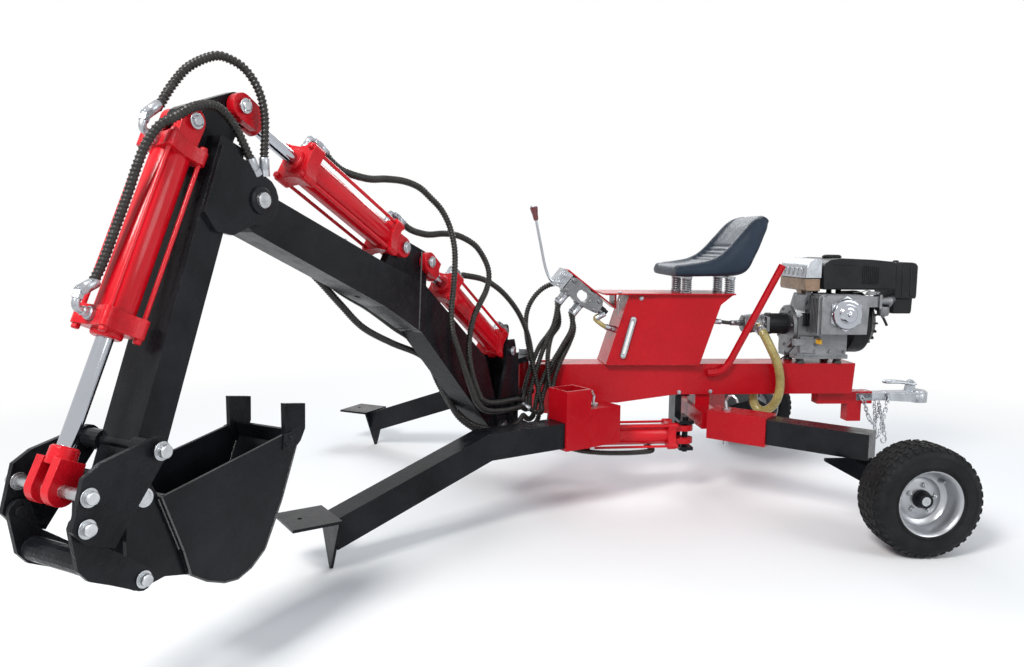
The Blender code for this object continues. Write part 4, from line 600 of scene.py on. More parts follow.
def port_spots(at, body, lean):
    """Where the hoses meet a ram's elbows, at the cap end and at the gland end."""
    ports = (CAP_PORT, body - GLAND_PORT)
    return [at @ Vector((x + lean * ELBOW_REACH, 0, ELBOW_RISE)) for x in ports]


# %% The four rams
ARM_TUBE, SWING_TUBE = 0.52, 0.48    # from the base pin to the tube's far end
LIFT = ((0.235, 0.655), (0.8, 1.027))
CROWD = ((0.95, 1.077), (1.633, 1.427))
CURL = ((1.786, 1.371), (2.151, 0.59))
for name, (base, tip), lean, pin_half, base_half in (("lift", LIFT, -1, 0.047, 0.0665),
        ("crowd", CROWD, -1, 0.047, 0.047), ("curl", CURL, -1, 0.1065, 0.047)):
    ram(name, ram_frame(base, tip), hypot(tip[0] - base[0], tip[1] - base[1]), ARM_TUBE, lean, pin_half,
        base_half)

swing_pin = TO_CHASSIS @ ARM @ Vector((0.071, 0.15, 0))
swing_reach = Vector((swing_pin.x - 0.695, swing_pin.y + 0.11))
SWING = CHASSIS @ Matrix.Translation((0.695, -0.11, 0.275)) \
    @ Matrix.Rotation(atan2(swing_reach.y, swing_reach.x), 4, "Z") @ Matrix.Rotation(pi / 2, 4, "X")
ram("swing", SWING, swing_reach.length, SWING_TUBE, 1, 0.047, 0)
# %% [markdown]
# ## Wheels
#
# The wheels are small garden tractor wheels: a wide turf tyre with rows of shallow blocks, on a
# pressed rim with a deep dish, five bolts and a short black hub. The tyre could be a torus with a
# displaced pattern, but then the blocks would be soft. Turning the carcass and setting real blocks
# round it keeps their edges crisp.

# %% Tyre with turf blocks
TYRE_AT = (1.347, 0.811, 0.203)


def turf_tyre(word, side):
    centre = Vector((TYRE_AT[0], side * TYRE_AT[1], TYRE_AT[2]))
    tyre = Shape()
    tyre.turned([(-0.06, 0.1135), (-0.074, 0.116), (-0.079, 0.123), (-0.0805, 0.14), (-0.0815, 0.156),
        (-0.08, 0.17), (-0.0745, 0.183), (-0.064, 0.1925), (-0.04, 0.1968), (0.0, 0.198), (0.04, 0.1968),
        (0.064, 0.1925), (0.0745, 0.183), (0.08, 0.17), (0.0815, 0.156), (0.0805, 0.14), (0.079, 0.123),
        (0.074, 0.116), (0.06, 0.1135)], centre, (0, 1, 0), 96, looped=True)
    for bead in (0.125, 0.129, 0.166):
        for face in (-1, 1):
            wall = face * (0.08 if bead < 0.13 else 0.0806)
            ring = [centre + Vector((cos(a) * bead, wall, sin(a) * bead)) for a in turns(96)]
            tyre.tube(ring, 0.0014, 6, looped=True)
    rows = ((0.0, 0.01, 0.1974, 0.0, 34), (0.0225, 0.0095, 0.197, 16, 34),
        (0.0435, 0.009, 0.1957, -16, 34), (0.0625, 0.009, 0.1915, 22, 40))
    for offset, half, radius, slant, count in rows:
        for face in ((1,) if offset == 0 else (-1, 1)):
            for turn in turns(count, 0.5 if face > 0 else 0):
                out = Vector((cos(turn), 0, sin(turn)))
                on = Vector((-sin(turn), 0, cos(turn)))
                tilt = 0.0 if offset < 0.06 else 0.55
                up = (out * cos(tilt) + Vector((0, face, 0)) * sin(tilt)).normalized()
                wide = on.cross(up).normalized()
                on2 = on * cos(radians(slant)) + wide * sin(radians(slant)) * face
                wide2 = up.cross(on2).normalized()
                base = centre + out * (radius - 0.002) + Vector((0, face * offset, 0))
                long = pi * radius / count * 0.72
                low = [(long, half), (long * 0.7, -half), (-long, -half), (-long * 0.7, half)]
                ring0 = [base + on2 * a + wide2 * b for a, b in low]
                ring1 = [p + up * 0.0062 - (p - base) * 0.1 for p in ring0]
                tyre.skin([ring0, ring1])
    tyre.piece("turf_tyre_" + word, "wheel_" + word, tyre_rubber, soft=0, angle=32,
        replaces=["tyre_" + word])


# %% Rim, bolts and hub
def dished_rim(word, side):
    centre = Vector((TYRE_AT[0], side * TYRE_AT[1], TYRE_AT[2]))
    out = (0, side, 0)
    rim = Shape()
    rim.turned([(-0.07, 0.1175), (-0.076, 0.118), (-0.0775, 0.113), (-0.072, 0.1085), (-0.05, 0.101),
        (-0.02, 0.096), (0.02, 0.096), (0.048, 0.101), (0.066, 0.108), (0.074, 0.113), (0.0765, 0.118),
        (0.072, 0.1195), (0.07, 0.115), (0.062, 0.111), (0.04, 0.105), (0.0, 0.1), (-0.04, 0.105),
        (-0.064, 0.112)], centre, out, 80, looped=True)
    rim.turned([(0.014, 0.0965), (0.01, 0.093), (0.004, 0.086), (0.0005, 0.078), (0.0045, 0.07),
        (0.008, 0.061), (0.0085, 0.03), (0.004, 0.03), (0.004, 0.061), (0.0, 0.07), (-0.004, 0.078),
        (-0.001, 0.088), (0.006, 0.0965)], centre, out, 72, looped=True)
    rim.coat = 1
    for turn in turns(5, 0.15):
        spot = centre + Vector((cos(turn) * 0.05, side * 0.008, sin(turn) * 0.05))
        rim.bolt(spot, out, 0.0098, 0.011)
        rim.turned([(0.01, 0.005), (0.015, 0.005), (0.0165, 0.0035)], spot, out, 14)
    valve = centre + Vector((0.06, side * 0.01, 0.062))
    rim.tube([valve, valve + Vector((0.004, side * 0.014, 0.004)),
        valve + Vector((0.006, side * 0.03, 0.006))], 0.004, 10)
    rim.coat = 2
    rim.turned([(-0.078, 0.0165), (-0.078, 0.027), (-0.07, 0.03), (-0.005, 0.031), (0.01, 0.033),
        (0.018, 0.033), (0.021, 0.029), (0.04, 0.0275), (0.045, 0.025), (0.046, 0.0165)], centre, out,
        40, looped=True)
    rim.coat = 1
    rim.turned([(0.0405, 0.0215), (0.044, 0.0215), (0.045, 0.014), (0.045, TIP)], centre, out, 6)
    rim.piece("dished_rim_" + word, "wheel_" + word, rim_silver, pin_steel, arm_black, soft=0.0008,
        replaces=["rim_" + word])


for word, side in (("left", -1), ("right", 1)):
    turf_tyre(word, side)
    dished_rim(word, side)
# %% [markdown]
# ## Seat on its springs
#
# The seat is one moulding of dense foam with a tough slate skin: a scooped pan with raised sides, a
# low backrest, and five sewn-looking ribs where the two meet. It stands on four short springs. A
# subdivided cage is the usual way, but the ribs need rows of points, so the seat is lofted: closed
# rings run from the front lip to the top, each with its own width, thickness and side rolls.

# %% Loft the seat
def along(table, t):
    """Value of a table of (t, value) rows, eased between rows."""
    for (t0, a), (t1, b) in zip(table, table[1:]):
        if t <= t1:
            f = (t - t0) / (t1 - t0)
            return a + (b - a) * (f * f * (3 - 2 * f))
    return table[-1][1]


def seat_point(points, t):
    """Smooth position on a list of evenly spaced points."""
    at = min(t, 0.99999) * (len(points) - 1)
    i = int(at)
    near = [Vector(points[max(0, min(len(points) - 1, i + k))]) for k in (-1, 0, 1, 2)]
    return eased(*near, at - i)


UPPER = [(0.608, 0.978), (0.622, 0.998), (0.66, 1.003), (0.71, 1.007), (0.765, 1.018), (0.815, 1.042),
    (0.855, 1.078), (0.892, 1.124), (0.93, 1.172), (0.968, 1.206), (1.0, 1.217)]
LOWER = [(0.612, 0.958), (0.64, 0.9558), (0.69, 0.956), (0.75, 0.957), (0.82, 0.958), (0.89, 0.962),
    (0.93, 0.985), (0.958, 1.04), (0.985, 1.1), (1.01, 1.165), (1.024, 1.206)]
WIDTH = [(0.0, 0.18), (0.05, 0.198), (0.25, 0.205), (0.55, 0.205), (0.72, 0.198), (0.86, 0.182),
    (0.94, 0.16), (0.98, 0.13), (1.0, 0.09)]
ROLL = [(0.0, 0.002), (0.12, 0.014), (0.35, 0.024), (0.6, 0.026), (0.8, 0.018), (0.95, 0.005),
    (1.0, 0.0)]


def loft_seat():
    seat = Shape()
    rings = []
    for t in [n / 110 for n in range(111)]:
        top, low = seat_point(UPPER, t), seat_point(LOWER, t)
        centre, half = (top + low) / 2, (top - low) / 2
        width, roll = along(WIDTH, t), along(ROLL, t)
        outwards = half.normalized()
        squeeze = 1 - 0.4 * max(0.0, (0.03 - t) / 0.03) ** 2 - 0.7 * max(0.0, (t - 0.97) / 0.03) ** 2
        ring = []
        for a in turns(72):
            c, s = cos(a), sin(a)
            v = abs(c) ** 0.42 * (1 if c >= 0 else -1)
            h = abs(s) ** 0.5 * (1 if s >= 0 else -1)
            lift = 0.0
            if s > 0:
                lift = roll * max(0.0, 1 - ((abs(v) - 0.86) / 0.24) ** 2) ** 1.5 * s
                if 0.42 < t < 0.64 and abs(v) < 0.72:
                    fade = min(1.0, (0.72 - abs(v)) / 0.08)
                    lift -= 0.005 * fade * (0.5 + 0.5 * cos((t - 0.42) / 0.22 * 10 * pi + pi))
                if abs(abs(v) - 0.7) < 0.03 and t > 0.1:
                    lift -= 0.0022 * (1 - abs(abs(v) - 0.7) / 0.03)
            point = centre + half * h * squeeze + outwards * lift
            ring.append((point.x, v * width * (0.5 + 0.5 * squeeze), point.y))
        rings.append(ring)
    seat.skin(rings)
    return seat.piece("moulded_seat", "seat", seat_vinyl, soft=0, angle=60, replaces=["seat"])


moulded_seat = loft_seat()
print("seat width", 2 * max(half for t, half in WIDTH), "m")


# %% Springs, cups and seat bars
SPRING_FOOT, SPRING_TOP = 0.889, 0.944
COIL_TURNS = 6


def seat_springs(word, x):
    springs = Shape()
    springs.box(x - 0.018, x + 0.018, -0.104, 0.104, 0.948, 0.9545)
    for y in (-0.08, 0.08):
        for low, high in ((0.8846, SPRING_FOOT), (SPRING_TOP, 0.948)):
            springs.turned([(low, 0.0225), (high, 0.0225)], (x, y, 0), (0, 0, 1), 28)
        for dx in (-0.012, 0.014):
            springs.turned([(SPRING_FOOT, 0.006), (SPRING_TOP, 0.006)], (x + dx, y, 0), (0, 0, 1), 24)
        coil = []
        for part in [i / 150 for i in range(151)]:
            a = 2 * pi * COIL_TURNS * part
            rise = SPRING_FOOT + (SPRING_TOP - SPRING_FOOT) * part
            coil.append((x + 0.0195 * cos(a), y + 0.0195 * sin(a), rise))
        springs.tube(coil, 0.003, 8)
    made = springs.piece("seat_springs_" + word, "chassis", zinc, soft=0.0005,
        replaces=["seat_spring_" + word])
    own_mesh(made)


seat_springs("front", 0.69)
seat_springs("rear", 0.88)
print("four springs")
# %% [markdown]
# ## Valve bank and control lever
#
# The valve bank is a stack of four bare castings bolted together, each with an open window that
# one can see through, a bright block at the front where the lever's yoke sits, and hose nuts
# below. A Boolean could cut the windows, but a ring of points inside a ring of points makes
# the same plate with a hole and keeps clean edges for the bevel.

# %% Four windowed castings
VALVE = CHASSIS @ Matrix.Translation((0.24, 0, 0.876)) @ Matrix.Rotation(radians(38), 4, "Y")
OUTSIDE = [(-0.078, -0.034), (-0.052, -0.04), (-0.024, -0.034), (0.01, -0.04), (0.04, -0.04),
    (0.072, -0.034), (0.1, -0.026), (0.102, 0.012), (0.088, 0.034), (0.052, 0.039), (0.02, 0.032),
    (-0.02, 0.039), (-0.06, 0.04), (-0.08, 0.03)]
WINDOW = [(-0.02, -0.013), (-0.012, -0.021), (0.0, -0.024), (0.014, -0.026), (0.028, -0.025),
    (0.04, -0.019), (0.049, -0.008), (0.051, 0.004), (0.046, 0.015), (0.036, 0.023), (0.018, 0.02),
    (0.002, 0.022), (-0.012, 0.017), (-0.021, 0.004)]


def valve_point(x, y, z):
    """A point of the valve bank's own frame, in the chassis frame."""
    return TO_CHASSIS @ VALVE @ Vector((x, y, z))


bank = Shape(VALVE)
for low, high in ((-0.074, -0.041), (-0.035, -0.003), (0.003, 0.035), (0.041, 0.074)):
    bank.skin([[(x, y, z) for x, z in line] for line, y in ((OUTSIDE, low), (OUTSIDE, high),
        (WINDOW, high), (WINDOW, low))], looped=True)
    y = (low + high) / 2
    bank.turned([(0.0, 0.013), (0.018, 0.013), (0.02, 0.01), (0.032, 0.01)], (0.098, y, -0.006),
        (1, 0, 0), 20)
    for x in (-0.052, 0.026):
        bank.turned([(-0.034, 0.0155), (-0.044, 0.0155), (-0.046, 0.013)], (x, y, 0), (0, 0, 1), 24)
for x, z in ((-0.064, 0.024), (-0.064, -0.026), (0.078, 0.022), (0.084, -0.02)):
    bank.bar((x, -0.08, z), (x, 0.08, z), 0.005, 14)
    bank.bolt((x, -0.0742, z), (0, -1, 0), 0.0092, 0.008)
bank.coat = 1
bank.box(-0.13, -0.082, -0.072, 0.072, -0.036, 0.038)
for z0, z1 in ((-0.03, -0.006), (0.002, 0.03)):
    bank.box(-0.124, -0.092, -0.0745, -0.071, z0, z1)
for z in (-0.018, 0.016):
    bank.bolt((-0.108, -0.0745, z), (0, -1, 0), 0.008, 0.006)
bank.coat = 2
bank.turned([(0.0, 0.012), (0.02, 0.012), (0.022, 0.01), (0.034, 0.01)], (0.102, -0.06, 0.004),
    (1, 0, 0), 20)
bank.piece("valve_castings", "chassis", valve_casting, zinc, black_plastic, soft=0.0016,
    replaces=["valve_bank"])
print("valve bank of four castings")

# %% [markdown]
# The lever is a bent plated rod with a tall dark red knob that ends in a small bright cap. It
# hinges on an eye beside the yoke, so it rides the lever's own body.

# %% Lever, knob and eye
pivot = valve_point(-0.128, -0.068, -0.034)
x, z, out = pivot.x, pivot.z, pivot.y - 0.02
lever = Shape()
lever.tube(smooth_route([(x, out, z), (x - 0.012, out - 0.003, z + 0.006),
    (x - 0.026, out - 0.006, z + 0.022), (x - 0.044, out - 0.01, z + 0.07),
    (x - 0.066, out - 0.018, z + 0.17), (x - 0.088, out - 0.025, z + 0.275)], 0.008), 0.006, 18)
lever.bar((x, pivot.y - 0.028, z), (x, pivot.y - 0.0123, z), 0.0105, 24)
lever.bolt((x, pivot.y - 0.0282, z), (0, -1, 0), 0.0075, 0.006)
lean = Vector((-0.21, -0.07, 1)).normalized()
foot = Vector((x - 0.0845, out - 0.0245, z + 0.258))
lever.coat = 1
lever.turned([(0.0, 0.0085), (0.006, 0.0105), (0.026, 0.012), (0.04, 0.015), (0.05, 0.0165),
    (0.056, 0.0162)], foot, lean, 32)
lever.coat = 2
lever.turned([(0.0562, 0.014), (0.06, 0.0132), (0.0625, 0.009), (0.0632, TIP)], foot, lean, 32)
lever.piece("knobbed_lever", "lever", chrome, knob_red, zinc, soft=0.0006, replaces=["control_lever"])
print("lever knob at", round(foot.z + 0.06, 3), "m")

# %% [markdown]
# ## Console fittings
#
# On the console's side there is a level gauge: a bright frame with rounded ends, a clear strip and
# two screws. The side bulges a little towards the seat, so the gauge lies along the tapering nose.
# Small bolts, the welded seams of the console and a thin lanyard complete it.

# %% Level gauge on the console
def console_side(x, z):
    """Distance of the console's side from the middle plane."""
    t = (0.878 - z) / 0.303
    bend, nose = 0.554 - 0.091 * t, 0.438 - 0.096 * t
    return 0.11 if x >= bend else 0.1 + 0.01 * (x - nose) / (bend - nose)


def gauge_ring(half, reach, proud, steps=10):
    """Stadium outline round the gauge's middle line, lifted off the console's side."""
    top, low = Vector((0.4555, 0.772)), Vector((0.4135, 0.616))
    run = (top - low).normalized()
    side = Vector((run.y, -run.x))
    ring = []
    for end, start in ((top, 0), (low, 180)):
        for i in range(steps + 1):
            a = radians(start + 180 * i / steps)
            p = end + side * half * cos(a) + run * (half * sin(a) + (reach if start == 0 else -reach))
            ring.append((p.x, -console_side(p.x, p.y) - proud, p.y))
    return ring


gauge = Shape()
gauge.skin([gauge_ring(0.0125, 0.0, 0.0006), gauge_ring(0.0125, 0.0, 0.01),
    gauge_ring(0.0105, 0.0, 0.012), gauge_ring(0.0072, -0.012, 0.012),
    gauge_ring(0.0068, -0.012, 0.0085)])
gauge.coat = 1
gauge.skin([gauge_ring(0.0066, -0.013, 0.008), gauge_ring(0.006, -0.014, 0.0102)])
gauge.coat = 2
for x, z in ((0.4575, 0.7745), (0.4115, 0.6135)):
    gauge.turned([(0.0, 0.0052), (0.003, 0.005), (0.0042, 0.0036)], (x, -console_side(x, z) - 0.0118, z),
        (0, -1, 0), 20)
gauge.piece("level_gauge", "chassis", zinc, gauge_glass, pin_steel, soft=0.0005,
    replaces=["sight_gauge"])

# %% Bolts, seams and lanyard of the console
trim = Shape()
for side in (-1, 1):
    trim.bolt((0.489, side * (console_side(0.489, 0.862) + 0.0004), 0.862), (0, side, 0), 0.0082, 0.006)
    for x, z in ((0.674, 0.45), (0.813, 0.452)):
        trim.bolt((x, side * 0.0754, z), (0, side, 0), 0.008, 0.007)
trim.bolt((0.397, -0.1, 0.8843), (0, 0, 1), 0.007, 0.006)
trim.tube(smooth_route([(0.397, -0.104, 0.88), (0.39, -0.1295, 0.862), (0.386, -0.131, 0.83),
    (0.384, -0.13, 0.79), (0.394, -0.124, 0.778), (0.408, -0.112, 0.79)], 0.008), 0.0013, 8)
trim.coat = 1
for side in (-1, 1):
    trim.weld((0.345, side * 0.1015, 0.576), (0.748, side * 0.1112, 0.576), 0.003)
    trim.weld((0.343, side * 0.076, 0.5762), (0.52, side * 0.076, 0.5762), 0.0022)
trim.weld((0.343, -0.098, 0.5765), (0.343, 0.098, 0.5765), 0.003)
trim.weld((0.438, -0.1, 0.877), (0.888, -0.111, 0.877), 0.0022)
trim.piece("console_trim", "chassis", zinc, weld_red, soft=0.0005)
print("console trimmed")
# %% [markdown]
# ## Engine
#
# The engine is a common single-cylinder petrol engine: a grey cast crankcase on four rubber feet, a
# finned barrel lying to the left with a bright pressed cover on its head, a black tank above,
# a silver guard round the muffler, a tall air cleaner behind, and a black fan housing with the pull
# starter at the rear. Each of these is its own piece, because each has its own material and shape.

# %% Crankcase, finned barrel and feet
CRANK_Z = 0.745   # height of the crankshaft
FINS = 8
case = Shape()
case.plate([(1.185, 0.612), (1.4, 0.612), (1.408, 0.64), (1.408, 0.77), (1.385, 0.805), (1.215, 0.805),
    (1.186, 0.78)], -0.1, 0.106)
case.turned([(0.0, 0.06), (0.004, 0.094), (0.018, 0.096), (0.022, 0.09)], (1.166, 0, CRANK_Z - 0.012),
    (1, 0, 0), 40)
for turn in turns(7):
    turn += 0.3
    case.bolt((1.1675, 0.08 * cos(turn), CRANK_Z - 0.012 + 0.08 * sin(turn)), (-1, 0, 0), 0.0068, 0.006,
        washer=False)
case.box(1.238, 1.412, -0.204, -0.08, 0.724, 0.876)
for i in range(FINS):
    y = -0.092 - 0.0145 * i
    case.plate([(1.226, 0.716), (1.424, 0.716), (1.424, 0.872), (1.41, 0.886), (1.24, 0.886),
        (1.226, 0.872)], y - 0.0018, y + 0.0018)
case.plate([(1.24, 0.718), (1.44, 0.718), (1.446, 0.86), (1.43, 0.884), (1.262, 0.884), (1.24, 0.868)],
    -0.2052, -0.196)
case.plate([(1.215, 0.79), (1.42, 0.79), (1.41, 0.878), (1.24, 0.878)], -0.082, 0.09)
for y0, y1 in ((-0.094, -0.03), (0.03, 0.094)):
    case.box(1.182, 1.418, y0, y1, 0.598, 0.616)
case.box(1.19, 1.25, -0.118, -0.092, 0.628, 0.7)
case.turned([(0, 0.02), (0.012, 0.02), (0.014, 0.017)], (1.271, -0.1, 0.678), (0, -1, 0), 28)
for x in (1.262, 1.33, 1.396):
    case.bolt((x, -0.101, 0.63), (0, -1, 0), 0.007, 0.006)
case.coat = 1
FEET = [(x, y) for x in (1.215, 1.385) for y in (-0.062, 0.062)]
for x, y in FEET:
    case.turned([(0.5753, 0.02), (0.58, 0.02), (0.585, 0.0165), (0.5925, 0.0165), (0.598, 0.02)],
        (x, y, 0), (0, 0, 1), 28)
case.coat = 2
for x, y in FEET:
    case.bolt((x, y, 0.6162), (0, 0, 1), 0.0092, 0.009)
case.coat = 3
case.turned([(0.0, 0.0125), (0.012, 0.013), (0.014, 0.011)], (1.271, -0.1142, 0.678), (0, -1, 0), 24)
case.box(1.265, 1.277, -0.14, -0.126, 0.668, 0.688)
case.piece("engine_crankcase", "chassis", cast_aluminium, hose_rubber, zinc, oil_yellow, soft=0.003,
    replaces=["engine_block"])
print("crankcase with", FINS, "fins")

# %% Head cover
cover = Shape()
HEAD = (1.345, -0.2055, 0.805)
cover.turned([(0.0, 0.076), (0.003, 0.076), (0.004, 0.069)], HEAD, (0, -1, 0), 6)
cover.turned([(0.003, 0.066), (0.012, 0.064), (0.018, 0.06), (0.0205, 0.05), (0.019, 0.044),
    (0.02, 0.04), (0.029, 0.033), (0.0325, 0.022), (0.031, 0.014), (0.0325, 0.01), (0.04, 0.0085),
    (0.0415, 0.006)], HEAD, (0, -1, 0), 56)
for turn in turns(6, 0.5):
    turn += radians(30)
    cover.bolt((HEAD[0] + 0.063 * cos(turn), HEAD[1] - 0.0035, HEAD[2] + 0.063 * sin(turn)), (0, -1, 0),
        0.005, 0.004, washer=False)
cover.piece("head_cover", "chassis", chrome, soft=0.0009, replaces=["valve_cover"])

# %% Tank with its cap, and the muffler guard
tank = Shape()
tank.plate([(1.262, 0.906), (1.255, 0.99), (1.262, 1.016), (1.285, 1.032), (1.335, 1.038), (1.47, 1.034),
    (1.56, 1.026), (1.575, 1.018), (1.578, 0.912), (1.56, 0.905)], -0.163, 0.163)
for i in range(9):
    x = 1.428 + 0.0085 * i
    tank.box(x, x + 0.0035, -0.1665, -0.16, 0.93, 1.008)
tank.box(1.3, 1.56, -0.166, -0.16, 0.912, 0.918)
tank.box(1.3, 1.4, -0.165, -0.16, 1.01, 1.016)
tank.coat = 1
tank.turned([(1.034, 0.03), (1.038, 0.0385), (1.044, 0.0385), (1.05, 0.036), (1.052, 0.029),
    (1.0515, TIP)], (1.357, -0.02, 0), (0, 0, 1), 36)
for turn in turns(12):
    x, y = 1.357 + 0.0375 * cos(turn), -0.02 + 0.0375 * sin(turn)
    tank.bar((x, y, 1.0382), (x, y, 1.0465), 0.0032, 8)
for x in (1.29, 1.395):
    for y in (-0.02, 0.07):
        tank.bar((x, y, 0.876), (x, y, 0.908), 0.012, 16)
tank.piece("fuel_tank", "chassis", black_plastic, fan_black, soft=0.009, angle=44,
    replaces=["fuel_tank_cover"])

guard = Shape()
guard.plate([(1.18, 0.953), (1.186, 1.002), (1.196, 1.022), (1.215, 1.033), (1.248, 1.036),
    (1.252, 1.036), (1.252, 0.953)], -0.158, 0.118)
for i in range(5):
    guard.box(1.1795, 1.185, -0.12 + 0.045 * i, -0.1 + 0.045 * i, 0.962, 0.996)
guard.coat = 1
guard.plate([(1.187, 0.9), (1.182, 0.912), (1.184, 0.952), (1.25, 0.952), (1.25, 0.897), (1.2, 0.897)],
    -0.152, 0.112)
guard.plate([(1.218, 0.898), (1.246, 0.898), (1.248, 0.882), (1.222, 0.882)], -0.035, 0.02)
guard.piece("muffler_shield", "chassis", zinc, warm_steel, soft=0.008, angle=40,
    replaces=["muffler_guard"])
print("tank and muffler guard")

# %% Air cleaner, fan housing and carburettor
cleaner = Shape()
cleaner.plate([(1.582, 0.868), (1.678, 0.868), (1.681, 0.88), (1.681, 1.006), (1.672, 1.019),
    (1.655, 1.023), (1.582, 1.024)], -0.15, 0.02)
cleaner.plate([(1.584, 0.802), (1.664, 0.802), (1.668, 0.812), (1.67, 0.868), (1.584, 0.868)], -0.14,
    0.012)
for x in (1.612, 1.648):
    cleaner.box(x, x + 0.006, -0.1535, -0.147, 0.876, 1.016)
cleaner.bar((1.63, -0.06, 1.0225), (1.63, -0.06, 1.03), 0.012, 20)
cleaner.piece("air_cleaner_case", "chassis", black_plastic, soft=0.006, angle=40,
    replaces=["air_cleaner"])

fan = Shape()
fan.turned([(0.0, 0.137), (0.06, 0.138), (0.074, 0.135), (0.086, 0.12), (0.096, 0.11), (0.113, 0.09),
    (0.119, 0.08), (0.122, 0.06), (0.1225, TIP)], (1.4255, 0, CRANK_Z + 0.01), (1, 0, 0), 56)
hub = Vector((1.524, 0, CRANK_Z + 0.01))
for turn in turns(16):
    a, b = Vector((0, cos(turn), sin(turn))), Vector((0, -sin(turn), cos(turn)))
    fan.skin([[hub + a * r + b * s + Vector((dx, 0, 0)) for r, s in ((0.1, 0.004), (0.082, 0.003),
        (0.082, -0.003), (0.1, -0.004))] for dx in (0.002, 0.02)])
fan.coat = 1
fan.bar((1.52, 0.06, 0.85), (1.52, 0.105, 0.88), 0.01, 16)
fan.bolt((1.5478, 0, CRANK_Z + 0.01), (1, 0, 0), 0.01, 0.0006)
fan.piece("fan_housing", "chassis", fan_black, black_plastic, soft=0.002, replaces=["blower_housing"])

carb = Shape()
carb.box(1.4255, 1.5, -0.176, -0.146, 0.832, 0.878)
carb.box(1.5, 1.512, -0.184, -0.128, 0.824, 0.886)
carb.turned([(0.0, 0.02), (0.03, 0.021), (0.034, 0.024), (0.048, 0.024)], (1.512, -0.156, 0.856),
    (1, 0, 0), 32)
carb.turned([(0.0, 0.024), (0.006, 0.025), (0.028, 0.025), (0.038, 0.021), (0.042, 0.01)],
    (1.53, -0.16, 0.834), (0, 0, -1), 32)
carb.bolt((1.53, -0.16, 0.792), (0, 0, -1), 0.007, 0.006)
carb.bar((1.556, -0.156, 0.856), (1.583, -0.13, 0.868), 0.018, 24)
carb.bar((1.47, -0.15, 0.88), (1.47, -0.15, 0.902), 0.0045, 12)
carb.tube(smooth_route([(1.47, -0.15, 0.9), (1.452, -0.158, 0.903), (1.43, -0.16, 0.896),
    (1.4, -0.15, 0.892)], 0.006), 0.002, 8)
carb.plate([(1.44, 0.884), (1.5, 0.884), (1.506, 0.898), (1.448, 0.9)], -0.172, -0.168)
for x in (1.452, 1.494):
    carb.bolt((x, -0.1722, 0.891), (0, -1, 0), 0.005, 0.005)
carb.coat = 1
carb.tube(smooth_route([(1.52, -0.15, 0.812), (1.536, -0.16, 0.78), (1.548, -0.166, 0.752)], 0.008),
    0.0055, 12)
carb.piece("carburettor_parts", "chassis", valve_casting, black_plastic, soft=0.0012,
    replaces=["carburettor"])
print("cleaner, fan housing and carburettor")

# %% Control bits at the engine's front, and the bell's bolts
bits = Shape()
bits.box(1.176, 1.2, -0.128, -0.06, 0.822, 0.88)
bits.turned([(0, 0.017), (0.02, 0.017), (0.022, 0.014)], (1.196, -0.1, 0.85), (0, -1, 0), 24)
bits.bolt((1.23, -0.112, 0.9), (0, -1, 0), 0.007, 0.006)
bits.plate([(1.205, 0.815), (1.228, 0.815), (1.232, 0.895), (1.21, 0.895)], -0.11, -0.104)
bits.box(1.16, 1.215, -0.122, -0.098, 0.66, 0.69)
for turn in turns(6, 0.5):
    bits.bolt((1.165, 0.04 * cos(turn), CRANK_Z + 0.04 * sin(turn)), (-1, 0, 0), 0.006, 0.005)
bits.coat = 1
for i in range(4):
    bits.box(1.204 + 0.01 * i, 1.209 + 0.01 * i, -0.118, -0.08, 0.744, 0.8)
bits.tube(smooth_route([(1.19, -0.11, 0.69), (1.16, -0.112, 0.65), (1.12, -0.105, 0.606),
    (1.08, -0.085, 0.58)], 0.01), 0.0032, 8)
bits.piece("engine_controls", "chassis", cast_aluminium, black_plastic, soft=0.0012)

# %% Pump
PUMP_FACE = 1.078
gear_pump = Shape()
gear_pump.turned([(0.968, 0.033), (0.972, 0.0385), (0.99, 0.04), (1.0, 0.04), (1.002, 0.0425),
    (1.012, 0.0425), (1.014, 0.04), (1.046, 0.04), (1.048, 0.0425), (1.064, 0.0425)], (0, 0, CRANK_Z),
    (1, 0, 0), 48)
flange = [(1, 0), (1, 1), (0, 1), (-1, 1), (-1, 0), (-1, -1), (0, -1), (1, -1)]
gear_pump.skin([[(x, 0.05 * y, CRANK_Z + 0.033 * z) for y, z in flange] for x in (1.064, PUMP_FACE)])
gear_pump.turned([(0.0, 0.024), (0.034, 0.024), (0.036, 0.0215), (0.058, 0.0215)],
    (1.02, -0.004, CRANK_Z - 0.01), (0, -1, 0), 32)
gear_pump.turned([(0.0, 0.017), (0.014, 0.017), (0.016, 0.014), (0.046, 0.014)],
    (0.99, 0.003, CRANK_Z + 0.004), (-0.9, -0.43, 0), 6)
for y in (0.041, -0.041):
    gear_pump.bolt((1.0636, y, CRANK_Z), (-1, 0, 0), 0.0078, 0.008)
gear_pump.piece("gear_pump", "chassis", valve_casting, soft=0.0014, replaces=["pump"])
print("pump face", PUMP_FACE, "m behind the swing axis")
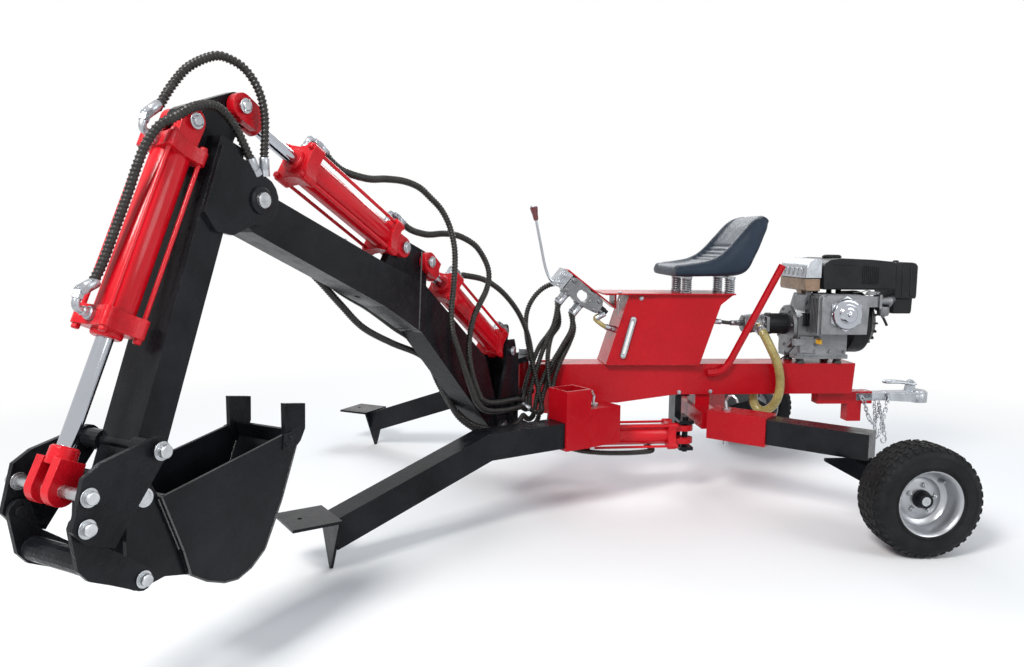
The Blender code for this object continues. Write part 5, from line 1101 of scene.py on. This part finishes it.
# %% [markdown]
# ## Hydraulic hoses
#
# Each ram needs two hoses back to the valve bank. They are rubber hoses in a wound plastic guard,
# 18 to 24 mm thick with short plated ends. A plain curve bevel would be smooth, so each hose is
# drawn as a tube whose radius rises and falls along a helix, which is what the wound guard looks
# like. Where a hose crosses a joint it rides neither body and stays where it is drawn.

# %% Hose maker
def hose(name, at, route, rides, ends=(True, True), radius=0.0092, guard=True, coats=None, replaces=()):
    """Hose along a route, riding one body. Given a tuple (body_a, body_b, start, end) instead, it rides
    no body; the tuple's bodies and points are not used.
    """
    line = smooth_route(route, 0.0021 if guard else 0.006)
    made = Shape(at)
    if guard:
        made.tube(line, lambda run, a: radius + 0.0028 * max(0.0, sin(2 * pi * run / 0.0105 - a)), 12)
    else:
        made.tube(line, radius, 20)
    made.coat = 1
    for wanted, tip, inner in ((ends[0], line[0], line[8]), (ends[1], line[-1], line[-9])):
        if not wanted:
            continue
        ahead = (inner - tip).normalized()
        made.turned([(-0.004, radius + 0.0042), (0.012, radius + 0.0042), (0.013, radius + 0.0018)], tip,
            ahead, 6)
        made.turned([(0.012, radius + 0.002), (0.014, radius + 0.0036), (0.04, radius + 0.0036),
            (0.043, radius + 0.0022)], tip, ahead, 28)
    bends = isinstance(rides, tuple)
    piece = made.piece(name, None if bends else rides, *(coats or (hose_guard, zinc)), soft=0, angle=50,
        replaces=replaces)
    if bends:
        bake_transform(piece)


# %% Hoses of the curl ram
hose("curl_loop_hose", ARM, [(1.8848, 0, 1.3769), (1.87, 0, 1.3875), (1.85, 0.001, 1.4),
    (1.818, 0.006, 1.448), (1.774, 0.014, 1.498), (1.71, 0.026, 1.533), (1.668, 0.036, 1.532),
    (1.63, 0.048, 1.512), (1.602, 0.06, 1.468), (1.591, 0.066, 1.414), (1.592, 0.067, 1.359),
    (1.597, 0.067, 1.301), (1.5955, 0.066, 1.2617)], ("dipper", "curl_barrel", (1.64, 0, 1.3),
    (1.86, 0, 1.4)), replaces=["bucket_hose"])
hose("curl_side_hose", ARM, [(2.0648, 0, 0.9919), (2.052, 0, 0.9975), (2.034, 0.001, 1.01),
    (2.01, 0.003, 1.052), (1.982, 0.008, 1.12), (1.952, 0.014, 1.195), (1.93, 0.022, 1.261),
    (1.912, 0.034, 1.312), (1.89, 0.052, 1.35), (1.856, 0.064, 1.372), (1.806, 0.068, 1.4),
    (1.742, 0.066, 1.408), (1.69, 0.066, 1.37), (1.645, 0.066, 1.3), (1.622, 0.066, 1.262)],
    ("dipper", "curl_barrel", (1.72, 0, 1.36), (1.95, 0, 1.22)))
hose("under_boom_hose_long", ARM, [(1.47, -0.064, 1.17), (1.4, -0.07, 1.11), (1.31, -0.072, 1.03),
    (1.225, -0.074, 0.967), (1.135, -0.076, 0.896), (1.026, -0.076, 0.815), (0.873, -0.074, 0.748),
    (0.698, -0.072, 0.684), (0.6, -0.074, 0.61), (0.545, -0.062, 0.52)], "boom", ends=(True, False))
hose("under_boom_hose_short", ARM, [(1.45, -0.066, 1.185), (1.36, -0.068, 1.105), (1.27, -0.066, 1.022),
    (1.182, -0.064, 0.958), (1.104, -0.066, 0.92), (1.023, -0.067, 0.885), (0.949, -0.066, 0.846),
    (0.86, -0.07, 0.8), (0.74, -0.074, 0.742), (0.64, -0.084, 0.672), (0.56, -0.086, 0.56),
    (0.52, -0.064, 0.48)], "boom", ends=(True, False))
print("curl hoses")

# %% Hoses of the crowd ram
hose("crowd_rod_end_hose", ARM, [(1.3187, 0, 1.3693), (1.306, 0, 1.3628), (1.286, 0.001, 1.346),
    (1.262, 0.003, 1.324), (1.21, 0.008, 1.3), (1.107, 0.014, 1.287), (1.02, 0.02, 1.292),
    (0.937, 0.03, 1.29), (0.87, 0.042, 1.274), (0.821, 0.052, 1.244), (0.77, 0.064, 1.205),
    (0.733, 0.074, 1.15), (0.714, 0.082, 1.08), (0.716, 0.086, 1.01), (0.73, 0.088, 0.93),
    (0.745, 0.089, 0.85), (0.738, 0.09, 0.78), (0.708, 0.092, 0.722), (0.668, 0.092, 0.655),
    (0.62, 0.09, 0.58), (0.575, 0.088, 0.511)], ("boom", "crowd_barrel", (0.8, 0, 1.16), (1.12, 0, 1.3)),
    ends=(True, False))
hose("crowd_cap_end_hose", ARM, [(0.9405, 0, 1.1755), (0.9275, 0, 1.169), (0.906, 0.001, 1.154),
    (0.862, 0.004, 1.134), (0.8, 0.01, 1.122), (0.758, 0.016, 1.12), (0.7, 0.028, 1.124),
    (0.64, 0.042, 1.12), (0.58, 0.056, 1.102), (0.53, 0.068, 1.074), (0.486, 0.08, 1.02),
    (0.474, 0.087, 0.97), (0.5, 0.091, 0.918), (0.548, 0.092, 0.872), (0.592, 0.092, 0.826),
    (0.617, 0.09, 0.765), (0.622, 0.088, 0.7), (0.608, 0.087, 0.64), (0.575, 0.086, 0.575),
    (0.53, 0.085, 0.51)], ("boom", "crowd_barrel", (0.72, 0, 1.06), (0.9, 0, 1.14)), ends=(True, False))
LOW_HOSES = {
    "crowd_rod_end_hose_low": [
        (0.575, 0.088, 0.511), (0.522, 0.086, 0.472), (0.45, 0.08, 0.446), (0.36, 0.076, 0.43),
        (0.28, 0.08, 0.422), (0.2, 0.09, 0.42)],
    "crowd_cap_end_hose_low": [
        (0.53, 0.085, 0.51), (0.488, 0.074, 0.492), (0.43, 0.07, 0.474), (0.35, 0.07, 0.462),
        (0.27, 0.071, 0.456), (0.2, 0.076, 0.45)],
    "under_boom_hose_long_low": [
        (0.545, -0.062, 0.52), (0.505, -0.044, 0.45), (0.46, 0.0, 0.392), (0.41, 0.05, 0.366),
        (0.34, 0.088, 0.356), (0.262, 0.1, 0.362), (0.2, 0.1, 0.385)],
    "under_boom_hose_short_low": [
        (0.52, -0.064, 0.48), (0.485, -0.034, 0.412), (0.44, 0.014, 0.362), (0.39, 0.056, 0.34),
        (0.32, 0.078, 0.33), (0.258, 0.088, 0.338), (0.2, 0.09, 0.355)],
}
for name, route in LOW_HOSES.items():
    hose(name, ARM, route, ("post", "boom", (0.22, 0, 0.34), (0.5, 0, 0.4)), ends=(False, False))
print("crowd hoses")

# %% Hoses of the lift ram and of the swing ram
lift_frame = ram_frame(*LIFT)
low_port, high_port = [ARM.inverted() @ spot for spot in port_spots(lift_frame, ARM_TUBE, -1)]
way = (ARM.inverted() @ lift_frame).to_3x3() @ Vector((-0.0165, 0, 0))
hose("lift_high_hose", ARM, [high_port, high_port + way,
    high_port + way * 2.6 + Vector((0, 0.004, 0.01)), (0.41, 0.012, 0.955), (0.33, 0.02, 0.93),
    (0.25, 0.034, 0.885), (0.17, 0.052, 0.812), (0.11, 0.066, 0.722), (0.07, 0.068, 0.634),
    (0.05, 0.062, 0.56)], ("post", "lift_barrel", (0.16, 0, 0.74), (0.44, 0, 0.92)))
hose("lift_low_hose", ARM, [low_port, low_port + way, low_port + way * 2.4 + Vector((0, -0.002, 0.004)),
    (0.15, -0.012, 0.742), (0.112, -0.03, 0.716), (0.082, -0.052, 0.672), (0.068, -0.062, 0.62),
    (0.06, -0.062, 0.575)], ("post", "lift_barrel", (0.12, 0, 0.7), (0.21, 0, 0.74)))
rear_port, front_port = [TO_CHASSIS @ spot for spot in port_spots(SWING, SWING_TUBE, 1)]
print("swing ports at", [round(v, 3) for v in rear_port], [round(v, 3) for v in front_port])

# %% Hoses from the valve bank to the swing post
DOWN = (TO_CHASSIS.to_3x3() @ VALVE.to_3x3() @ Vector((0, 0, -1))).normalized()


def station_hose(name, port, route, rides="chassis", far_end=True):
    """Hose from a port under a valve; port = (row, distance from the middle plane)."""
    start = valve_point((-0.052, 0.026)[port[0]], port[1], -0.05)
    hose(name, CHASSIS, [start, start + DOWN * 0.016, start + DOWN * 0.04] + route, rides,
        ends=(True, far_end))


def arm_point(x, y, z):
    """A point of the arm's frame, in the chassis frame."""
    return TO_CHASSIS @ ARM @ Vector((x, y, z))


# Each row: the port, where it ends on the post (y and z in the arm's frame) and the way there.
# They end where the hoses that go on along the boom begin.
POST_HOSES = (
    ((0, -0.058), (0.09, 0.42), [
        (0.12, -0.062, 0.745), (0.098, -0.07, 0.69), (0.07, -0.084, 0.63), (0.046, -0.096, 0.56),
        (0.026, -0.102, 0.5), (0.012, -0.112, 0.44), (0.008, -0.14, 0.408), (-0.006, -0.18, 0.402)]),
    ((1, -0.058), (0.1, 0.385), [
        (0.196, -0.062, 0.722), (0.16, -0.076, 0.66), (0.118, -0.092, 0.594), (0.078, -0.102, 0.53),
        (0.052, -0.108, 0.465), (0.038, -0.12, 0.4), (0.026, -0.15, 0.366), (0.002, -0.19, 0.362)]),
    ((0, -0.019), (0.076, 0.45), [
        (0.128, -0.026, 0.748), (0.1, -0.04, 0.7), (0.062, -0.064, 0.655), (0.034, -0.088, 0.6),
        (0.012, -0.096, 0.54), (-0.006, -0.106, 0.478), (-0.014, -0.13, 0.444),
        (-0.026, -0.168, 0.434)]),
    ((1, -0.019), (0.09, 0.355), [
        (0.206, -0.026, 0.724), (0.18, -0.044, 0.668), (0.136, -0.072, 0.6), (0.098, -0.094, 0.52),
        (0.074, -0.106, 0.45), (0.058, -0.122, 0.38), (0.042, -0.152, 0.342), (0.01, -0.19, 0.336)]),
)
for number, (port, (y, z), route) in enumerate(POST_HOSES):
    station_hose("hose_to_post_" + str(number + 1), port, route + [arm_point(0.2, y, z)],
        ("chassis", "post", (0.05, -0.09, 0.4), (-0.03, -0.2, 0.38)), far_end=False)
station_hose("hose_to_swing_ram_rear", (0, 0.019), [(0.15, -0.01, 0.744), (0.11, -0.06, 0.69),
    (0.09, -0.11, 0.6), (0.098, -0.118, 0.5), (0.112, -0.124, 0.42), (0.122, -0.16, 0.33),
    (0.15, -0.19, 0.262), (0.2, -0.2, 0.232), (0.3, -0.196, 0.216), (0.42, -0.184, 0.21),
    (0.52, -0.15, 0.206), (0.556, -0.096, 0.202), (0.538, -0.048, 0.216), (0.524, -0.024, 0.25),
    (0.548, -0.0195, 0.2745), rear_port])
station_hose("hose_to_swing_ram_front", (1, 0.019), [(0.216, -0.01, 0.724), (0.19, -0.05, 0.66),
    (0.144, -0.094, 0.58), (0.116, -0.112, 0.5), (0.112, -0.11, 0.42), (0.104, -0.092, 0.35),
    (0.11, -0.064, 0.3), (0.14, -0.046, 0.279), front_port + Vector((-0.022, -0.001, 0)), front_port])

# One more hose leaves the valves forwards and falls over in a loop.
hose("hose_loop_down", CHASSIS, [valve_point(-0.105, -0.04, 0.03), (0.13, -0.044, 0.924),
    (0.104, -0.056, 0.916), (0.07, -0.07, 0.9), (0.034, -0.08, 0.866), (0.006, -0.088, 0.815),
    (-0.003, -0.094, 0.75), (0.006, -0.098, 0.668), (0.026, -0.1, 0.585), (0.046, -0.104, 0.5),
    (0.06, -0.116, 0.43), (0.064, -0.15, 0.392), (0.04, -0.196, 0.392), arm_point(0.16, 0.07, 0.42)],
    ("chassis", "post", (0.05, -0.11, 0.4), (-0.02, -0.19, 0.4)))
print("station hoses")

# %% Clear suction hose, pressure line and return hose
hose("clear_suction_hose", CHASSIS, [(1.02, -0.0627, 0.735), (1.02, -0.069, 0.735),
    (1.02, -0.076, 0.7345), (1.032, -0.104, 0.706), (1.062, -0.116, 0.645), (1.096, -0.114, 0.575),
    (1.112, -0.109, 0.5), (1.108, -0.103, 0.435), (1.09, -0.088, 0.388), (1.064, -0.06, 0.362),
    (1.04, -0.035, 0.372), (1.0285, -0.0235, 0.402), (1.028, -0.023, 0.439)], "chassis", radius=0.019,
    guard=False, coats=(clear_hose, zinc), ends=(True, False), replaces=["suction_hose"])
hose("pressure_line", CHASSIS, [(0.944, -0.0206, 0.749), (0.92, -0.032, 0.75), (0.89, -0.042, 0.752),
    (0.86, -0.045, 0.756), (0.824, -0.045, 0.76), (0.8165, -0.045, 0.7602)], "chassis", radius=0.0082,
    guard=False, coats=(hose_rubber, zinc), replaces=["pressure_hose"])
hose("return_hose", CHASSIS, [valve_point(0.128, -0.058, -0.006), (0.3, -0.058, 0.774),
    (0.322, -0.058, 0.75), (0.346, -0.056, 0.735), (0.366, -0.054, 0.728), (0.386, -0.054, 0.724)],
    "chassis", radius=0.0095, guard=False, coats=(clear_hose, zinc))
print("engine-side hoses")
# %% [markdown]
# ## Hitch
#
# Behind the engine a forged ball coupler ends the drawbar. Its latch is a thick wire loop, and a
# safety chain hangs in a bundle from the drawbar. A chain could be an array along a curve, but here
# every link gets its own place from a short loop, turned a quarter from its neighbour.

# %% Ball coupler
coupler = Shape()
coupler.plate([(1.5, 0.398), (1.64, 0.398), (1.655, 0.39), (1.655, 0.433), (1.5, 0.433)], -0.03, 0.03)
head = [(1.64, -0.031)] + arc((1.806, 0), 0.041, -100, 100, 16) + [(1.64, 0.031)]
coupler.slab(head, 0.427, 0.4342)
coupler.skin([[(1.806 + r * cos(a), r * sin(a), z) for a in turns(48)] for r,
    z in ((0.0262, 0.387), (0.033, 0.3862), (0.0405, 0.3872), (0.0412, 0.427), (0.033, 0.44),
    (0.016, 0.444), (0.005, 0.4448), (0.004, 0.438), (0.018, 0.435), (0.0262, 0.424))], looped=True)
coupler.plate([(1.742, 0.434), (1.792, 0.434), (1.782, 0.482), (1.772, 0.489), (1.758, 0.486),
    (1.75, 0.47)], -0.01, 0.01)
for side in (-1, 1):
    coupler.plate([(1.645, 0.398), (1.78, 0.3905), (1.78, 0.43), (1.645, 0.43)], side * 0.0335 - 0.0022,
        side * 0.0335 + 0.0022)
for x in (1.52, 1.56):
    coupler.bolt((x, 0, 0.4332), (0, 0, 1), 0.0105, 0.009)
coupler.piece("ball_coupler", "chassis", zinc, soft=0.0022, replaces=["coupler"])

latch = Shape()
grip = [(1.785, -0.019, 0.472), (1.767, -0.0195, 0.47), (1.735, -0.0195, 0.4755), (1.7, -0.019, 0.479),
    (1.668, -0.019, 0.479), (1.65, -0.015, 0.4785), (1.6445, 0.0, 0.478), (1.65, 0.015, 0.4785),
    (1.668, 0.019, 0.479), (1.7, 0.019, 0.479), (1.735, 0.0195, 0.4755), (1.767, 0.0195, 0.47),
    (1.785, 0.019, 0.472)]
latch.tube(smooth_route(grip, 0.005), 0.0062, 16)
latch.bar((1.767, -0.024, 0.47), (1.767, 0.024, 0.47), 0.0052, 16)
latch.piece("coupler_latch_loop", "latch", zinc, soft=0.0004, replaces=["coupler_latch"])
print("coupler and latch")

# %% Safety chain
chain = Shape()


def link(centre, along_way, flat):
    """Oval link of 4 mm wire; flat is the direction across its opening."""
    along_way, flat = Vector(along_way).normalized(), Vector(flat).normalized()
    flat = (flat - along_way * flat.dot(along_way)).normalized()
    ring = []
    for a in turns(20):
        stretch = 0.005 if cos(a) > 0 else -0.005
        ring.append(Vector(centre) + along_way * (0.0072 * cos(a) + stretch) + flat * 0.0072 * sin(a))
    chain.tube(ring, 0.0021, 8, looped=True)


def chain_run(route, twist=0.0):
    line = smooth_route(route, 0.0004)
    gap, run, n = 0.0162, 0.0, 0
    for a, b in zip(line, line[1:]):
        run += (b - a).length
        if run >= gap:
            run, n = run - gap, n + 1
            side, up = across(b - a)
            turn = twist + (pi / 2 if n % 2 else 0)
            link(b, b - a, side * cos(turn) + up * sin(turn))


chain_run([(1.517, -0.034, 0.42), (1.53, -0.046, 0.398), (1.548, -0.05, 0.34), (1.572, -0.05, 0.3),
    (1.592, -0.05, 0.318), (1.602, -0.048, 0.372)])
chain_run([(1.647, -0.04, 0.42), (1.636, -0.048, 0.38), (1.622, -0.05, 0.32), (1.612, -0.05, 0.262),
    (1.6, -0.05, 0.232), (1.588, -0.05, 0.262), (1.584, -0.048, 0.33), (1.58, -0.044, 0.392)], 0.5)
chain_run([(1.6, -0.038, 0.41), (1.612, -0.04, 0.35), (1.628, -0.042, 0.29), (1.638, -0.042, 0.24)], 0.9)
for x in (1.517, 1.647):
    chain.bar((x, -0.0295, 0.42), (x, -0.04, 0.42), 0.005, 14)
    chain.bolt((x, -0.0405, 0.42), (0, -1, 0), 0.007, 0.006)
chain.tube(smooth_route([(1.638, -0.042, 0.24), (1.646, -0.042, 0.226), (1.642, -0.042, 0.21),
    (1.63, -0.042, 0.206), (1.622, -0.042, 0.218), (1.63, -0.042, 0.232)], 0.004), 0.0035, 10)
chain.piece("safety_chain", "chassis", zinc, soft=0)
print("safety chain hung")
# %% [markdown]
# ## Details of the arm
#
# The digging end shows how it is made: a riveted cutter plate on each side of the bucket, weld
# beads inside and outside its corners, and large plated pins through the linkage. At the elbow a
# black collar carries a slotted pin. These are small solids laid on the machine's own plates.

# %% Cutter plates, welds and pin ends of the bucket
BUCKET_HALF = 0.106   # half the bucket's width


def pin_ends(shape, spot, half, radius, proud, flange, thick):
    """Chamfered end and washer of a pin on both sides of the arm; spot = (x, z)."""
    for side in (-1, 1):
        face = (spot[0], side * half, spot[1])
        shape.turned([(-0.004, radius), (proud - 0.002, radius), (proud, radius - 0.002)], face,
            (0, side, 0), 32)
        shape.turned([(CLEAR, radius + flange), (thick, radius + flange)], face, (0, side, 0), 28)


bucket_trim = Shape(ARM)
for side in (-1, 1):
    inner, outer = side * (BUCKET_HALF + 0.0002), side * (BUCKET_HALF + 0.0046)
    bucket_trim.plate([(1.6, 0.56), (1.568, 0.548), (1.552, 0.59), (1.56, 0.602), (1.592, 0.598)],
        *sorted((inner, outer)))
    for x, z in ((1.57, 0.586), (1.584, 0.57)):
        bucket_trim.turned([(0, 0.0068), (0.004, 0.0064), (0.0052, 0.004)], (x, outer, z), (0, side, 0),
            20)
bucket_trim.coat = 1
BELLY = [(1.546, 0.562), (1.604, 0.432), (1.638, 0.37), (1.67, 0.316), (1.716, 0.285), (1.761, 0.272),
    (1.803, 0.279), (1.856, 0.303), (1.9, 0.334), (1.918, 0.398), (1.97, 0.537)]
for (ax, az), (bx, bz) in zip(BELLY, BELLY[1:]):
    for side in (-1, 1):
        y = side * (BUCKET_HALF - 0.0092)
        inwards = Vector((az - bz, 0, bx - ax)).normalized() * 0.0095
        bucket_trim.weld(Vector((ax, y, az)) + inwards, Vector((bx, y, bz)) + inwards, 0.0034)
        outside = side * (BUCKET_HALF - 0.0006)
        bucket_trim.weld((ax, outside, az), (bx, outside, bz), 0.0027)
for side in (-1, 1):
    for y in (side * 0.0788, side * 0.0932):
        bucket_trim.weld((1.9195, y, 0.4), (1.969, y, 0.532), 0.0032)
bucket_trim.coat = 2
pin_ends(bucket_trim, (2.025, 0.371), 0.1065, 0.014, 0.016, 0.0055, 0.003)
bucket_trim.piece("bucket_trim", "bucket", plate_black, weld_black, pin_steel, soft=0.001)
print("bucket trimmed")

# %% Pins of the linkage, each with its chamfered end and collar
dipper_pins = Shape(ARM)
pin_ends(dipper_pins, (2.01, 0.547), 0.1005, 0.015, 0.0055, 0.006, 0.0032)
pin_ends(dipper_pins, (1.987, 0.649), 0.1335, 0.015, 0.018, 0.006, 0.0032)
dipper_pins.piece("dipper_linkage_pins", "dipper", pin_steel, soft=0.0007)
link_pins = Shape(ARM)
for spot in ((2.159, 0.528), (2.151, 0.59)):
    pin_ends(link_pins, spot, 0.121, 0.014, 0.016, 0.006, 0.003)
link_pins.piece("rocker_end_pin", "rocker", pin_steel, soft=0.0007)

# %% Elbow collars with their slotted pin, boom seam and its grease points
collars = Shape(ARM)
for side in (-1, 1):
    face, out = (1.618, side * 0.0722, 1.197), (0, side, 0)
    collars.coat = 0
    collars.turned([(CLEAR, 0.034), (0.006, 0.034), (0.008, 0.031)], face, out, 40)
    collars.coat = 1
    collars.turned([(0.008, 0.02), (0.016, 0.02), (0.018, 0.018)], face, out, 36)
    y0, y1 = sorted((side * 0.0902, side * 0.0902 + side * 0.0006))
    collars.box(1.605, 1.631, y0, y1, 1.1955, 1.1985)
collars.piece("elbow_collars", "dipper", plate_black, pin_steel, soft=0.0009)

boom_trim = Shape(ARM)
for side in (-1, 1):
    boom_trim.weld((0.88, side * 0.0452, 0.802), (0.862, side * 0.0452, 1.062), 0.0028)
boom_trim.weld((0.88, -0.045, 0.8005), (0.88, 0.045, 0.8005), 0.0028)
boom_trim.coat = 1
for x, z in ((1.23, 1.092), (0.705, 0.858)):
    boom_trim.turned([(0, 0.0062), (0.006, 0.0062), (0.007, 0.0045), (0.012, 0.0045), (0.013, 0.003)],
        (x, 0.02, z), (-0.4, 0, 0.9), 16)
boom_trim.piece("boom_trim", "boom", weld_black, zinc, soft=0)
print("arm details made")
# %% [markdown]
# ## Meshes and faces
#
# The last lines count the meshes that render and their faces before modifiers. The
# dressed machine must stay as big as its solids.


shown = [o for o in bpy.context.scene.objects if o.type == "MESH" and not o.hide_render]
print(len(shown), "meshes,", sum(len(o.data.polygons) for o in shown), "faces before modifiers")
